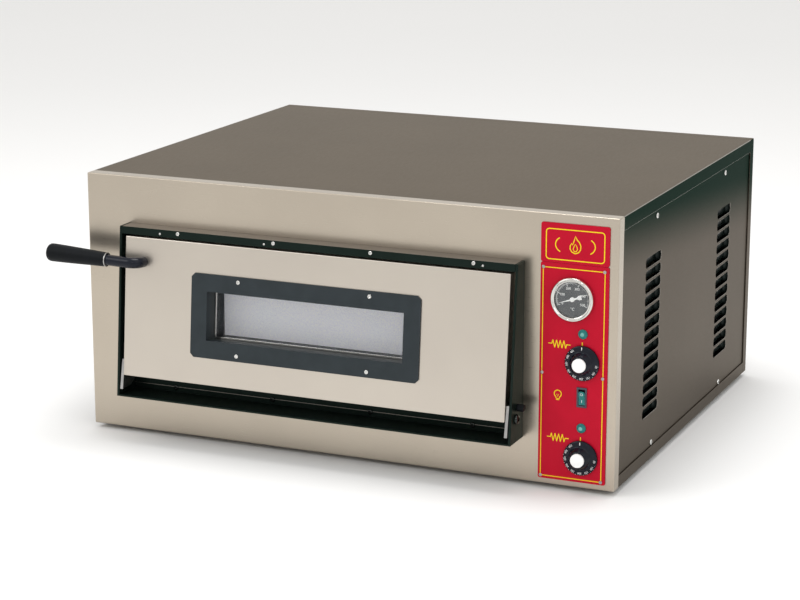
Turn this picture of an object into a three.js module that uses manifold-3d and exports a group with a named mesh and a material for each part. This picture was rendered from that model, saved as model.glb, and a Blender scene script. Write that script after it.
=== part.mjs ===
// Countertop pizza oven with one baking deck: a sheet metal casing on four feet, an insulated
// chamber with two hearth stones, a drop-down door with a window, and a column of controls.
//
// Lengths are in millimetres, +Z is up, +X is to the right of a person who faces the door, and
// +Y runs from the door to the back. The oven is built with y = 0 on the front panel's face and
// z = 0 at the casing's bottom edge. At the end the whole group is moved, so that the origin is
// the middle of its bounding box, on the surface that it stands on.

import * as THREE from 'three';
import { mergeVertices } from 'three/addons/utils/BufferGeometryUtils.js';
import Module from 'manifold-3d';

// ---------------------------------------------------------------- driving dimensions

const WIDTH = 900;
const DEPTH = 735;
const HEIGHT = 420;
const HALF_WIDTH = WIDTH / 2;

const SHEET = 1.5; // casing and chamber sheet
const GAP = 0.3; // clearance between pieces that meet
const FRONT_RETURN = 21; // how far the front panel's edges turn back
const BACK_RETURN = 20;
const COVER_FLANGE = 22;
const TRAY_FLANGE = 20;

const FOOT = { radius: 20, neck: 16, height: 8, insetX: 80, insetY: 75 };

// The door, its surround and the chamber share one middle, left of the casing's.
const DECK_X = -36;

const MOUTH = { width: 610, bottom: 150, top: 290 };
const CHAMBER = { depth: 610, floor: 108 };
const STONE = { thickness: 15, gap: 2 };
const RAIL = { width: 6, inset: 10 }; // the stones' rails, from the chamber's front and back
const ELEMENT = { radius: 4, pitch: 80, length: 570, upperZ: 281, lowerZ: 122 };
const ELEMENT_Y = { front: 160, rear: 450 }; // middle of each hairpin
const INSULATION = 45;

// The front edges of the surround lean back. LEAN is the slope, and the door's skin is flush.
const LEAN = 0.0893;
const LEAN_ANGLE = Math.atan(LEAN);
const LEAN_Y = -42; // the leaning plane's y at the height LEAN_Z
const LEAN_Z = 200;
const SURROUND = { width: 678, bottom: 69, top: 344.5, cheek: 4, sheet: 2.5, hoodLip: 12, sillFlange: 30 };

const DOOR = { width: 656, bottom: 104, top: 329.5, sheet: 1.5 };
const DOOR_BACK_Y = -4; // the inner skin's back face
const PLUG = { width: 580, bottom: 157, top: 276, back: 27 };
const PIVOT = { y: -32, z: 106, radius: 4 };
const STOP = { y: -26, z: 123, radius: 4 };
const LUG = { thickness: 5, gap: 0.3, eye: 12 };

const BEZEL = { width: 393, height: 135, middleX: -46, middleZ: 215, chamfer: 6, plate: 2 };
const WINDOW = { width: 337, height: 78, wall: 1.2 };
// The outer pane's depth is behind the door's face. The plug's edge stands in by the rebate.
const PANE = { thickness: 4, outer: 27, innerY: 20, lap: 7, rebate: 4 };

const HANDLE = { x: -331, z: 290.5, radius: 8.8, reach: 23, bend: 13, ferruleX: -385, tipX: -491.5 };
const GRIP = { neck: 11.2, end: 14.6, bore: 9.2, boreDepth: 40, rise: 0.028 };

const PLATE = { left: 328.4, right: 436, bottom: 9, top: 346, thickness: 1.5 };
const BADGE_TOP = 406.5;
const GAUGE = { x: 380, z: 293, bezel: 34.2, face: 27, body: 29, needleDegrees: -18 };
const KNOB_X = 397;
const KNOB_Z = { upper: 196.5, lower: 48.5 };
const LAMP_Z = { upper: 241, lower: 95 };
const SWITCH = { z: 143, width: 16, height: 31, pivotY: 3.5, pressed: 7 };
const SHAFT = { radius: 3, bore: 3.4, hole: 5 };
const PILOT = { lens: 7.5, body: 6 };

const LOUVRE = { rows: 13, pitch: 20, first: 82.5, height: 15.5, width: 78, corner: 4 };
const LOUVRE_Y = [175.5, 565]; // middles of the two columns

const GLAND = { x: 385, z: 62, radius: 8 };
const TERMINALS = { width: 44, y: [690, 712], z: [100, 118], slot: 2, slotFloor: 108, poles: 4 };
const LAMP = { y: 560, z: 225, radius: 22 };

// ---------------------------------------------------------------- materials

const metal = (color, roughness) => new THREE.MeshStandardMaterial({ color, roughness, metalness: 1 });
const plain = (color, roughness) => new THREE.MeshStandardMaterial({ color, roughness, metalness: 0 });

const STAINLESS = metal(0xbdb5a8, 0.38);
const DOOR_STEEL = metal(0xc6beb2, 0.4);
const COVER_PAINT = plain(0x706860, 0.4);
const BLACK_PAINT = plain(0x141a17, 0.25);
const BEZEL_PAINT = plain(0x3c444c, 0.5);
const BARE_STEEL = metal(0x9a9a98, 0.35);
const CHAMBER_STEEL = metal(0x8d8880, 0.55);
const CHROME = metal(0xd8dade, 0.12);
const ELEMENT_STEEL = metal(0x55504c, 0.5);
const RED_ENAMEL = plain(0xc81230, 0.35);
const BLACK_PLASTIC = plain(0x1c1e22, 0.55);
const TEAL_LENS = plain(0x2f7f74, 0.2);
const RUBBER = plain(0x1a1a1a, 0.85);
const STONE_FACE = plain(0xc9bfa8, 0.9);
const WOOL = plain(0xd8d2c0, 1.0);
const GLASS = plain(0xcfd6d6, 0.05);
const PORCELAIN = plain(0xe8e4da, 0.4);

// ---------------------------------------------------------------- joining and cutting

const wasm = await Module();
wasm.setup();

function solid(geometry) {
  const bare = geometry.index ? geometry.toNonIndexed() : geometry.clone();
  bare.deleteAttribute('normal');
  bare.deleteAttribute('uv');
  const merged = mergeVertices(bare, 1e-4);
  return new wasm.Manifold(new wasm.Mesh({
    numProp: 3,
    vertProperties: new Float32Array(merged.attributes.position.array),
    triVerts: new Uint32Array(merged.index.array),
  }));
}

function surface(manifold) {
  const mesh = manifold.getMesh();
  const geometry = new THREE.BufferGeometry();
  geometry.setAttribute('position', new THREE.BufferAttribute(new Float32Array(mesh.vertProperties), 3));
  geometry.setIndex(new THREE.BufferAttribute(new Uint32Array(mesh.triVerts), 1));
  geometry.computeVertexNormals();
  return geometry;
}

function cut(body, ...tools) {
  return surface(tools.reduce((rest, tool) => rest.subtract(solid(tool)), solid(body)));
}

function join(body, ...others) {
  return surface(others.reduce((rest, other) => rest.add(solid(other)), solid(body)));
}

// ---------------------------------------------------------------- simple shapes

// A box from its lowest to its highest corner.
function block([x0, x1], [y0, y1], [z0, z1]) {
  const geometry = new THREE.BoxGeometry(x1 - x0, y1 - y0, z1 - z0);
  return geometry.translate((x0 + x1) / 2, (y0 + y1) / 2, (z0 + z1) / 2);
}

const X_AXIS = new THREE.Vector3(1, 0, 0);
const Y_AXIS = new THREE.Vector3(0, 1, 0);
const Z_AXIS = new THREE.Vector3(0, 0, 1);
const OUTLINE_YZ = new THREE.Matrix4().makeBasis(Y_AXIS, Z_AXIS, X_AXIS);
const OUTLINE_XZ = new THREE.Matrix4().makeBasis(X_AXIS, Z_AXIS, Y_AXIS.clone().negate());

function extruded(outline, depth) {
  const shape = new THREE.Shape(outline.map(([a, b]) => new THREE.Vector2(a, b)));
  return new THREE.ExtrudeGeometry(shape, { depth, bevelEnabled: false });
}

// An outline of [y, z] points, as thick along X as the span says.
const alongX = (outline, [x0, x1]) => extruded(outline, x1 - x0).applyMatrix4(OUTLINE_YZ).translate(x0, 0, 0);

// An outline of [x, z] points, as thick along Y as the span says.
const alongY = (outline, [y0, y1]) => extruded(outline, y1 - y0).applyMatrix4(OUTLINE_XZ).translate(0, y1, 0);

// A rectangle of the given half sizes round a middle, with its corners cut off.
function cutCorners(middleA, middleB, halfA, halfB, corner) {
  return [
    [middleA - halfA, middleB - halfB + corner], [middleA - halfA + corner, middleB - halfB],
    [middleA + halfA - corner, middleB - halfB], [middleA + halfA, middleB - halfB + corner],
    [middleA + halfA, middleB + halfB - corner], [middleA + halfA - corner, middleB + halfB],
    [middleA - halfA + corner, middleB + halfB], [middleA - halfA, middleB + halfB - corner],
  ];
}

// A turned shape with its axis along Y: the profile holds [radius, y] points.
function turnedY(profile, x, z, sides = 28) {
  const points = profile.map(([radius, y]) => new THREE.Vector2(radius, y));
  return new THREE.LatheGeometry(points, sides).translate(x, 0, z);
}

// A turned shape with its axis along X: the profile holds [radius, x] points.
function turnedX(profile, y, z, sides = 20) {
  const points = profile.map(([radius, x]) => new THREE.Vector2(radius, x));
  return new THREE.LatheGeometry(points, sides).rotateZ(-Math.PI / 2).translate(0, y, z);
}

const drillY = (radius, x, z, [y0, y1], sides = 20) =>
  new THREE.CylinderGeometry(radius, radius, y1 - y0, sides).translate(x, (y0 + y1) / 2, z);

const drillX = (radius, y, z, [x0, x1], sides = 12) =>
  new THREE.CylinderGeometry(radius, radius, x1 - x0, sides)
    .rotateZ(Math.PI / 2)
    .translate((x0 + x1) / 2, y, z);

// ---------------------------------------------------------------- the group

const oven = new THREE.Group();

function add(name, geometry, material, parent = oven) {
  const mesh = new THREE.Mesh(geometry, material.clone());
  mesh.name = name;
  parent.add(mesh);
  return mesh;
}

const span = (middle, width) => [middle - width / 2, middle + width / 2];
const leanAt = (z) => LEAN_Y + LEAN * (z - LEAN_Z);

// ---------------------------------------------------------------- casing

const MOUTH_X = span(DECK_X, MOUTH.width);
const MOUTH_Z = [MOUTH.bottom, MOUTH.top];
const CASING_X = [-HALF_WIDTH, HALF_WIDTH];
const INSIDE_X = [-HALF_WIDTH + SHEET, HALF_WIDTH - SHEET];
const INSIDE_Z = [SHEET, HEIGHT - SHEET];

// Holes for the controls, each a little larger than what goes through it.
function controlHoles() {
  const through = [-PLATE.thickness - 5, SHEET + 5];
  return [
    drillY(GAUGE.body + 0.6, GAUGE.x, GAUGE.z, through, 28),
    drillY(SHAFT.hole, KNOB_X, KNOB_Z.upper, through, 12),
    drillY(SHAFT.hole, KNOB_X, KNOB_Z.lower, through, 12),
    drillY(PILOT.body + 0.4, KNOB_X, LAMP_Z.upper, through, 16),
    drillY(PILOT.body + 0.4, KNOB_X, LAMP_Z.lower, through, 16),
    block(span(KNOB_X, SWITCH.width - 1.6), through, span(SWITCH.z, SWITCH.height - 1.6)),
  ];
}

function frontPanel() {
  const tray = block(CASING_X, [0, FRONT_RETURN], [0, HEIGHT]);
  const hollow = block(INSIDE_X, [SHEET, FRONT_RETURN + 1], INSIDE_Z);
  const mouth = block(MOUTH_X, [-1, SHEET + 1], MOUTH_Z);
  return cut(tray, hollow, mouth, ...controlHoles());
}

function backPanel() {
  const front = DEPTH - BACK_RETURN;
  const tray = block(CASING_X, [front, DEPTH], [0, HEIGHT]);
  const hollow = block(INSIDE_X, [front - 1, DEPTH - SHEET], INSIDE_Z);
  return cut(tray, hollow, drillY(GLAND.radius + 0.5, GLAND.x, GLAND.z, [DEPTH - SHEET - 1, DEPTH + 1], 16));
}

// Between the two trays' returned edges: a sheet with a flange along each side.
function flangedSheet(bottom, top, hollowBottom, hollowTop) {
  const reach = [FRONT_RETURN + GAP, DEPTH - BACK_RETURN - GAP];
  return cut(block(CASING_X, reach, [bottom, top]), block(INSIDE_X, [0, DEPTH], [hollowBottom, hollowTop]));
}

// One louvre opening: a slot with cut corners.
function louvreSlot(y, z, x) {
  return alongX(cutCorners(y, z, LOUVRE.width / 2, LOUVRE.height / 2, LOUVRE.corner), x);
}

// A side panel lies just inside the flanges and the returned edges.
function sidePanel(x) {
  const sheet = block(x, [SHEET + GAP, DEPTH - SHEET - GAP], [SHEET + GAP, HEIGHT - SHEET - GAP]);
  const slots = [];
  for (const y of LOUVRE_Y) {
    for (let row = 0; row < LOUVRE.rows; row += 1) {
      slots.push(louvreSlot(y, LOUVRE.first + row * LOUVRE.pitch, [x[0] - 1, x[1] + 1]));
    }
  }
  return cut(sheet, ...slots);
}

const SIDE_OUTER = HALF_WIDTH - SHEET - GAP;
const SIDE_INNER = SIDE_OUTER - 1.2;

function addFeet() {
  for (const [side, x] of [['left', -HALF_WIDTH + FOOT.insetX], ['right', HALF_WIDTH - FOOT.insetX]]) {
    for (const [end, y] of [['front', FOOT.insetY], ['rear', DEPTH - FOOT.insetY]]) {
      const profile = [[0, -FOOT.height], [FOOT.neck, -FOOT.height], [FOOT.radius, -GAP], [0, -GAP]];
      const foot = new THREE.LatheGeometry(profile.map(([r, z]) => new THREE.Vector2(r, z)), 24);
      add(`foot_${end}_${side}`, foot.rotateX(Math.PI / 2).translate(x, y, 0), RUBBER);
    }
  }
}

function addCasing() {
  add('front_panel', frontPanel(), STAINLESS);
  const coverBottom = HEIGHT - COVER_FLANGE;
  const cover = flangedSheet(coverBottom, HEIGHT, coverBottom - 1, HEIGHT - SHEET);
  add('top_cover', cover, COVER_PAINT);
  add('base_tray', flangedSheet(0, TRAY_FLANGE, SHEET, TRAY_FLANGE + 1), COVER_PAINT);
  add('back_panel', backPanel(), COVER_PAINT);
  add('left_side_panel', sidePanel([-SIDE_OUTER, -SIDE_INNER]), COVER_PAINT);
  add('right_side_panel', sidePanel([SIDE_INNER, SIDE_OUTER]), COVER_PAINT);
  addFeet();
}

// ---------------------------------------------------------------- surround of the door

const INNER_HALF = SURROUND.width / 2 - SURROUND.cheek;
const BETWEEN_CHEEKS = [DECK_X - INNER_HALF + GAP, DECK_X + INNER_HALF - GAP];

function cheek(side) {
  const { bottom, top, width } = SURROUND;
  const outline = [[-GAP, bottom], [-GAP, top], [leanAt(top), top], [leanAt(bottom), bottom]];
  const outer = DECK_X + side * width / 2;
  const inner = DECK_X + side * INNER_HALF;
  const x = side > 0 ? [inner, outer] : [outer, inner];
  const through = [x[0] - 1, x[1] + 1];
  const holes = [drillX(PIVOT.radius + 0.3, PIVOT.y, PIVOT.z, through, 20)];
  if (side > 0) {
    holes.push(drillX(STOP.radius + 0.3, STOP.y, STOP.z, through, 20));
  }
  return cut(alongX(outline, x), ...holes);
}

// The hood: a flat plate with a front lip that follows the leaning plane.
function hood() {
  const { top, sheet, hoodLip } = SURROUND;
  const end = top - hoodLip;
  const under = top - sheet;
  return alongX([
    [-GAP, top], [leanAt(top), top], [leanAt(end), end],
    [leanAt(end) + sheet, end], [leanAt(under) + sheet, under], [-GAP, under],
  ], BETWEEN_CHEEKS);
}

// The sill: a flat plate with a flange that stands against the front panel.
function sill() {
  const { bottom, sheet, sillFlange } = SURROUND;
  const end = bottom + sillFlange;
  return alongX([
    [-GAP, bottom], [-GAP, end], [-GAP - sheet, end], [-GAP - sheet, bottom + sheet],
    [leanAt(bottom + sheet), bottom + sheet], [leanAt(bottom), bottom],
  ], BETWEEN_CHEEKS);
}

function addSurround() {
  add('surround_hood', hood(), BLACK_PAINT);
  add('surround_sill', sill(), BLACK_PAINT);
  add('surround_left_cheek', cheek(-1), BLACK_PAINT);
  add('surround_right_cheek', cheek(1), BLACK_PAINT);
}

// ---------------------------------------------------------------- chamber

const CHAMBER_BACK = SHEET + GAP + CHAMBER.depth;
const CHAMBER_Y = [SHEET + GAP, CHAMBER_BACK];
const ROOF_Z = [MOUTH.top + GAP, MOUTH.top + GAP + SHEET];
const FLOOR_Z = [CHAMBER.floor, CHAMBER.floor + SHEET];
const WALL_Z = [FLOOR_Z[1] + GAP, ROOF_Z[0] - GAP];

const elementLegs = ['upperZ', 'lowerZ'].flatMap((level) =>
  Object.values(ELEMENT_Y).flatMap((y) =>
    span(y, ELEMENT.pitch).map((legY) => [legY, ELEMENT[level]])));

// A hairpin of steel tube: two legs along X and a half circle at the left end.
function hairpin(y, z) {
  const right = MOUTH_X[1] + 32;
  const left = right - ELEMENT.length;
  const bend = ELEMENT.pitch / 2;
  const route = new THREE.CurvePath();
  const steps = 12;
  const onBend = (step) => {
    const turn = Math.PI * (step / steps);
    return new THREE.Vector3(left + bend - bend * Math.sin(turn), y - bend * Math.cos(turn), z);
  };
  route.add(new THREE.LineCurve3(new THREE.Vector3(right, y - bend, z), onBend(0)));
  for (let step = 0; step < steps; step += 1) {
    route.add(new THREE.LineCurve3(onBend(step), onBend(step + 1)));
  }
  route.add(new THREE.LineCurve3(onBend(steps), new THREE.Vector3(right, y + bend, z)));
  return tube(route, ELEMENT.radius, 8, 60);
}

function tube(route, radius, sides, steps) {
  const corners = Array.from({ length: sides }, (_, i) => {
    const turn = 2 * Math.PI * (i / sides);
    return new THREE.Vector2(radius * Math.cos(turn), radius * Math.sin(turn));
  });
  return new THREE.ExtrudeGeometry(new THREE.Shape(corners), { steps, extrudePath: route });
}

function addChamber() {
  const wallLeft = [MOUTH_X[0] - SHEET, MOUTH_X[0]];
  const wallRight = [MOUTH_X[1], MOUTH_X[1] + SHEET];
  const legHoles = elementLegs.map(([y, z]) =>
    drillX(ELEMENT.radius + 0.6, y, z, [wallRight[0] - 1, wallRight[1] + 1], 8));
  const lampHole = drillX(LAMP.radius + 0.5, LAMP.y, LAMP.z, [wallRight[0] - 1, wallRight[1] + 1], 20);
  const outside = [wallLeft[0], wallRight[1]];
  const backY = [CHAMBER_BACK + GAP, CHAMBER_BACK + GAP + SHEET];

  add('chamber_roof', block(outside, CHAMBER_Y, ROOF_Z), CHAMBER_STEEL);
  add('chamber_floor', block(outside, CHAMBER_Y, FLOOR_Z), CHAMBER_STEEL);
  add('chamber_left_wall', block(wallLeft, CHAMBER_Y, WALL_Z), CHAMBER_STEEL);
  add('chamber_right_wall', cut(block(wallRight, CHAMBER_Y, WALL_Z), ...legHoles, lampHole), CHAMBER_STEEL);
  add('chamber_back_wall', block(outside, backY, [FLOOR_Z[0], ROOF_Z[1]]), CHAMBER_STEEL);
}

function addHearth() {
  const railTop = MOUTH.bottom - STONE.thickness - GAP;
  const railX = [MOUTH_X[0] + GAP, MOUTH_X[1] - GAP];
  const railZ = [FLOOR_Z[1] + GAP, railTop];
  const frontRail = CHAMBER_Y[0] + RAIL.inset;
  const rearRail = CHAMBER_Y[1] - RAIL.inset - RAIL.width;
  add('stone_rail_front', block(railX, [frontRail, frontRail + RAIL.width], railZ), CHAMBER_STEEL);
  add('stone_rail_rear', block(railX, [rearRail, rearRail + RAIL.width], railZ), CHAMBER_STEEL);

  const stoneY = [CHAMBER_Y[0] + 1, CHAMBER_Y[1] - 1];
  const stoneZ = [MOUTH.bottom - STONE.thickness, MOUTH.bottom];
  const meeting = STONE.gap / 2;
  add('hearth_stone_left', block([MOUTH_X[0] + 1, DECK_X - meeting], stoneY, stoneZ), STONE_FACE);
  add('hearth_stone_right', block([DECK_X + meeting, MOUTH_X[1] - 1], stoneY, stoneZ), STONE_FACE);
}

function addElements() {
  for (const [end, y] of Object.entries(ELEMENT_Y)) {
    add(`upper_element_${end}`, hairpin(y, ELEMENT.upperZ), ELEMENT_STEEL);
    add(`lower_element_${end}`, hairpin(y, ELEMENT.lowerZ), ELEMENT_STEEL);
  }
}

// Mineral wool over, under and round the chamber. The wrap leaves the element ends and the lamp free.
function addInsulation() {
  const x = [MOUTH_X[0] - INSULATION, MOUTH_X[1] + 30];
  const y = [SHEET + GAP, CHAMBER_BACK + INSULATION];
  const inner = [MOUTH_X[0] - SHEET - GAP, MOUTH_X[1] + SHEET + GAP];
  const wrapZ = [MOUTH.bottom - STONE.thickness, ELEMENT.upperZ - 10];
  const hollow = block(inner, [0, CHAMBER_BACK + SHEET + 2 * GAP], [0, HEIGHT]);
  const lampRoom = drillX(LAMP.radius + 3, LAMP.y, LAMP.z, [MOUTH_X[1], x[1] + 1], 16);

  add('insulation_top', block(x, y, [ROOF_Z[1] + GAP, ROOF_Z[1] + INSULATION]), WOOL);
  add('insulation_bottom', block(x, y, [CHAMBER.floor - INSULATION, CHAMBER.floor - GAP]), WOOL);
  add('insulation_wrap', cut(block(x, y, wrapZ), hollow, lampRoom), WOOL);
}

// A woven rope frame round the mouth, which the closed door's inner skin lies against.
function addDoorSeal() {
  const y = [DOOR_BACK_Y + GAP, -GAP];
  const outer = block(span(DECK_X, MOUTH.width + 28), y, [MOUTH.bottom - 16, MOUTH.top + 14]);
  const inner = block(span(DECK_X, MOUTH.width + 8), [y[0] - 1, y[1] + 1], [MOUTH.bottom - 4, MOUTH.top + 3]);
  add('door_seal', cut(outer, inner), WOOL);
}

// A lamp in the chamber's right wall: a lens, a flange and a porcelain holder.
function addChamberLamp() {
  const wall = MOUTH_X[1];
  const { radius, y, z } = LAMP;
  const profile = [
    [0, wall - 14], [16, wall - 12], [20, wall - 6], [21, wall - 3], [radius + 6, wall - 3],
    [radius + 6, wall - GAP], [radius - 1, wall - GAP], [radius - 1, wall + 24],
    [12, wall + 30], [0, wall + 30],
  ];
  add('chamber_lamp', turnedX(profile, y, z, 24), PORCELAIN);
}

// ---------------------------------------------------------------- door

const door = new THREE.Group();
door.position.set(DECK_X, PIVOT.y, PIVOT.z);
oven.add(door);

// The door's leaning face: x and z run across it, and y runs into the door, square to it.
const face = new THREE.Group();
face.position.set(0, leanAt(DOOR.bottom) - PIVOT.y, DOOR.bottom - PIVOT.z);
face.rotation.x = -LEAN_ANGLE;
door.add(face);

const onFace = (z) => (z - DOOR.bottom) / Math.cos(LEAN_ANGLE);
const WINDOW_Z = onFace(BEZEL.middleZ);
const WINDOW_X = BEZEL.middleX - DECK_X;
const fromPivotY = (y) => y - PIVOT.y;
const fromPivotZ = (z) => z - PIVOT.z;

// The window's straight passage through the door, wider by the margin, in the face's axes.
function passage(margin, y) {
  return block(span(WINDOW_X, WINDOW.width + 2 * margin), y, span(WINDOW_Z, WINDOW.height + 2 * margin));
}

// The same passage in the door's upright axes.
function uprightPassage(margin, y) {
  return passage(margin, y).rotateX(-LEAN_ANGLE).translate(0, face.position.y, face.position.z);
}

// A wedge as wide as the door, from its leaning face to an upright back, smaller by the inset.
function doorWedge(inset, backY) {
  const low = DOOR.bottom + inset;
  const high = DOOR.top - inset;
  const outline = [
    [leanAt(low) + inset, low], [backY, low], [backY, high], [leanAt(high) + inset, high],
  ].map(([y, z]) => [fromPivotY(y), fromPivotZ(z)]);
  return alongX(outline, span(0, DOOR.width - 2 * inset));
}

const DOOR_X = span(0, DOOR.width);
const SKIN_FRONT_Y = DOOR_BACK_Y - DOOR.sheet; // the inner skin's front face
const PAST = 5; // how far a cutter runs past the face that it leaves
const THROUGH = 90; // deep enough to leave the door at its back

function outerSkin() {
  const hollow = doorWedge(DOOR.sheet, SKIN_FRONT_Y + PAST);
  return cut(doorWedge(0, SKIN_FRONT_Y - GAP), hollow, uprightPassage(WINDOW.wall + 1, [-PAST, 2 * PAST]));
}

// A plate with a shallow box on its back, which enters the mouth and holds the inner pane.
function innerSkin() {
  const { width, bottom, top, back } = PLUG;
  const { sheet } = DOOR;
  const plugX = span(0, width);
  const plugZ = [fromPivotZ(bottom), fromPivotZ(top)];
  const plateY = [fromPivotY(SKIN_FRONT_Y), fromPivotY(DOOR_BACK_Y)];
  const plate = block(span(0, DOOR.width), plateY, [fromPivotZ(DOOR.bottom), fromPivotZ(DOOR.top)]);
  const plug = block(plugX, [plateY[0], fromPivotY(back)], plugZ);
  const hollowY = [plateY[0] - 1, fromPivotY(back) - sheet];
  const hollow = block([plugX[0] + sheet, plugX[1] - sheet], hollowY, [plugZ[0] + sheet, plugZ[1] - sheet]);
  return cut(join(plate, plug), hollow, uprightPassage(-PANE.rebate, [PANE.outer - PAST, THROUGH]));
}

function doorInsulation() {
  const clear = 0.5;
  const wedge = doorWedge(DOOR.sheet + clear, SKIN_FRONT_Y - clear);
  const inset = DOOR.sheet + clear;
  const plugY = [fromPivotY(SKIN_FRONT_Y - 2 * clear), fromPivotY(PANE.innerY) - clear];
  const plugZ = [fromPivotZ(PLUG.bottom + inset), fromPivotZ(PLUG.top - inset)];
  const plug = block(span(0, PLUG.width - 2 * inset), plugY, plugZ);
  return cut(join(wedge, plug), uprightPassage(WINDOW.wall + clear, [-PAST, THROUGH]));
}

// The bezel: a frame with cut corners, and a flange that lines the passage up to the inner pane.
function windowBezel() {
  const { width, height, chamfer, plate } = BEZEL;
  const outline = cutCorners(WINDOW_X, WINDOW_Z, width / 2, height / 2, chamfer);
  const frame = alongY(outline, [-GAP - plate, -GAP]);
  const lined = join(frame, passage(WINDOW.wall, [-GAP - 1, THROUGH]));
  const hollowed = cut(lined, passage(0, [-plate - PAST, THROUGH + PAST]));
  hollowed.rotateX(-LEAN_ANGLE).translate(0, face.position.y, face.position.z);
  const behind = fromPivotY(PANE.innerY) - GAP;
  return cut(hollowed, block(DOOR_X, [behind, behind + THROUGH], [-DOOR.top, DOOR.top]));
}

function addWindow() {
  const { thickness, outer, innerY, lap } = PANE;
  add('window_bezel', windowBezel(), BEZEL_PAINT, door);
  add('outer_glass', passage(-GAP, [outer, outer + thickness]), GLASS, face);

  // The passage runs down as it goes in, so the upright inner pane's middle is lower.
  const middleZ = fromPivotZ(BEZEL.middleZ) - LEAN * (innerY - leanAt(BEZEL.middleZ));
  const paneY = [fromPivotY(innerY), fromPivotY(innerY + thickness)];
  const paneX = span(WINDOW_X, WINDOW.width + 2 * lap);
  add('inner_glass', block(paneX, paneY, span(middleZ, WINDOW.height + 2 * lap)), GLASS, door);
}

// A hinge lug: an eye round the pivot, a tail in front of it and a toe that meets the stop pin
// when the door is level.
function hingeLug(side) {
  const eye = [];
  for (let degrees = -30; degrees <= 80; degrees += 22) {
    const turn = THREE.MathUtils.degToRad(degrees);
    eye.push([LUG.eye * Math.cos(turn), LUG.eye * Math.sin(turn)]);
  }
  const outline = [[-21, -25], [5, -24], [18, -17], [18, -10.4], [11, -10.4], ...eye, [-6, 23], [-12, 23]];
  const inner = side * (DOOR.width / 2 + LUG.gap);
  const outer = inner + side * LUG.thickness;
  const x = side > 0 ? [inner, outer] : [outer, inner];
  return cut(alongX(outline, x), drillX(PIVOT.radius + 0.3, 0, 0, [x[0] - 1, x[1] + 1], 20));
}

function handleRod() {
  const { reach, bend, radius } = HANDLE;
  const { rise } = GRIP;
  const root = new THREE.Vector3(HANDLE.x - DECK_X, -GAP, onFace(HANDLE.z));
  const elbow = new THREE.Vector3(root.x, -reach, root.z);
  const beforeBend = elbow.clone().setY(-reach + bend);
  const afterBend = new THREE.Vector3(root.x - bend, -reach, root.z + rise * bend);
  const inGrip = HANDLE.ferruleX - DECK_X - GRIP.boreDepth + 5;
  const end = new THREE.Vector3(inGrip, -reach, root.z + rise * (root.x - inGrip));
  const route = new THREE.CurvePath();
  route.add(new THREE.LineCurve3(root, beforeBend));
  route.add(new THREE.QuadraticBezierCurve3(beforeBend, elbow, afterBend));
  route.add(new THREE.LineCurve3(afterBend, end));
  return tube(route, radius, 16, 18);
}

function handleGrip() {
  const length = HANDLE.ferruleX - HANDLE.tipX;
  const { neck, end, bore, boreDepth, rise } = GRIP;
  const profile = [
    [0, -length], [end - 4.6, -length], [end - 1.4, -length + 1.6], [end, -length + 5.5],
    [neck, 0], [bore, 0], [bore, -boreDepth], [0, -boreDepth],
  ];
  const geometry = turnedX(profile, 0, 0, 24).rotateY(Math.atan(rise));
  const fromRoot = HANDLE.x - HANDLE.ferruleX;
  return geometry.translate(HANDLE.ferruleX - DECK_X, -HANDLE.reach, onFace(HANDLE.z) + rise * fromRoot);
}

function addDoor() {
  add('door_outer_skin', outerSkin(), DOOR_STEEL, door);
  add('door_inner_skin', innerSkin(), CHAMBER_STEEL, door);
  add('door_insulation', doorInsulation(), WOOL, door);
  addWindow();
  add('hinge_lug_left', hingeLug(-1), BARE_STEEL, door);
  add('hinge_lug_right', hingeLug(1), BARE_STEEL, door);
  add('handle_rod', handleRod(), BLACK_PAINT, face);
  add('handle_grip', handleGrip(), BLACK_PLASTIC, face);
}

// The pivot bolts stay in the cheeks, with a shoulder that spaces the lug from the cheek.
function pivotBolt(side) {
  const lugInner = DOOR.width / 2 + LUG.gap;
  const lugOuter = lugInner + LUG.thickness;
  const { radius, y, z } = PIVOT;
  const outside = SURROUND.width / 2 + GAP;
  const profile = [
    [0, lugInner], [radius, lugInner], [radius, lugOuter + GAP], [radius + 2, lugOuter + GAP],
    [radius + 2, INNER_HALF - GAP], [radius, INNER_HALF - GAP], [radius, outside], [7.5, outside],
    [7.5, outside + 2.6], [5.6, outside + 4.2], [0, outside + 5],
  ];
  const bolt = turnedX(profile, y, z, 20);
  return (side > 0 ? bolt : bolt.rotateZ(Math.PI).translate(0, 2 * y, 0)).translate(DECK_X, 0, 0);
}

// The pin that the right lug's toe meets, with a round knob outside the cheek.
function stopPin() {
  const { radius, y, z } = STOP;
  const outside = SURROUND.width / 2 + GAP;
  const profile = [
    [0, DOOR.width / 2 + 1], [radius, DOOR.width / 2 + 1], [radius, outside], [5.7, outside],
    [5.7, outside + 10.6], [4.9, outside + 11.6], [0, outside + 11.6],
  ];
  return turnedX(profile, y, z, 20).translate(DECK_X, 0, 0);
}

function addPivots() {
  add('pivot_bolt_left', pivotBolt(-1), BARE_STEEL);
  add('pivot_bolt_right', pivotBolt(1), BARE_STEEL);
  add('door_stop_pin', stopPin(), BLACK_PLASTIC);
}

// ---------------------------------------------------------------- controls

const PLATE_FRONT = -GAP - PLATE.thickness;
const ON_PLATE = PLATE_FRONT - GAP; // where the back of a control lies

function addPlates() {
  const y = [PLATE_FRONT, -GAP];
  const x = [PLATE.left, PLATE.right];
  const badge = cutCorners((x[0] + x[1]) / 2, (PLATE.top + GAP + BADGE_TOP) / 2,
    (x[1] - x[0]) / 2, (BADGE_TOP - PLATE.top - GAP) / 2, 2);
  add('control_plate', cut(block(x, y, [PLATE.bottom, PLATE.top]), ...controlHoles()), RED_ENAMEL);
  add('name_badge', alongY(badge, y), RED_ENAMEL);
}

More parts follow.
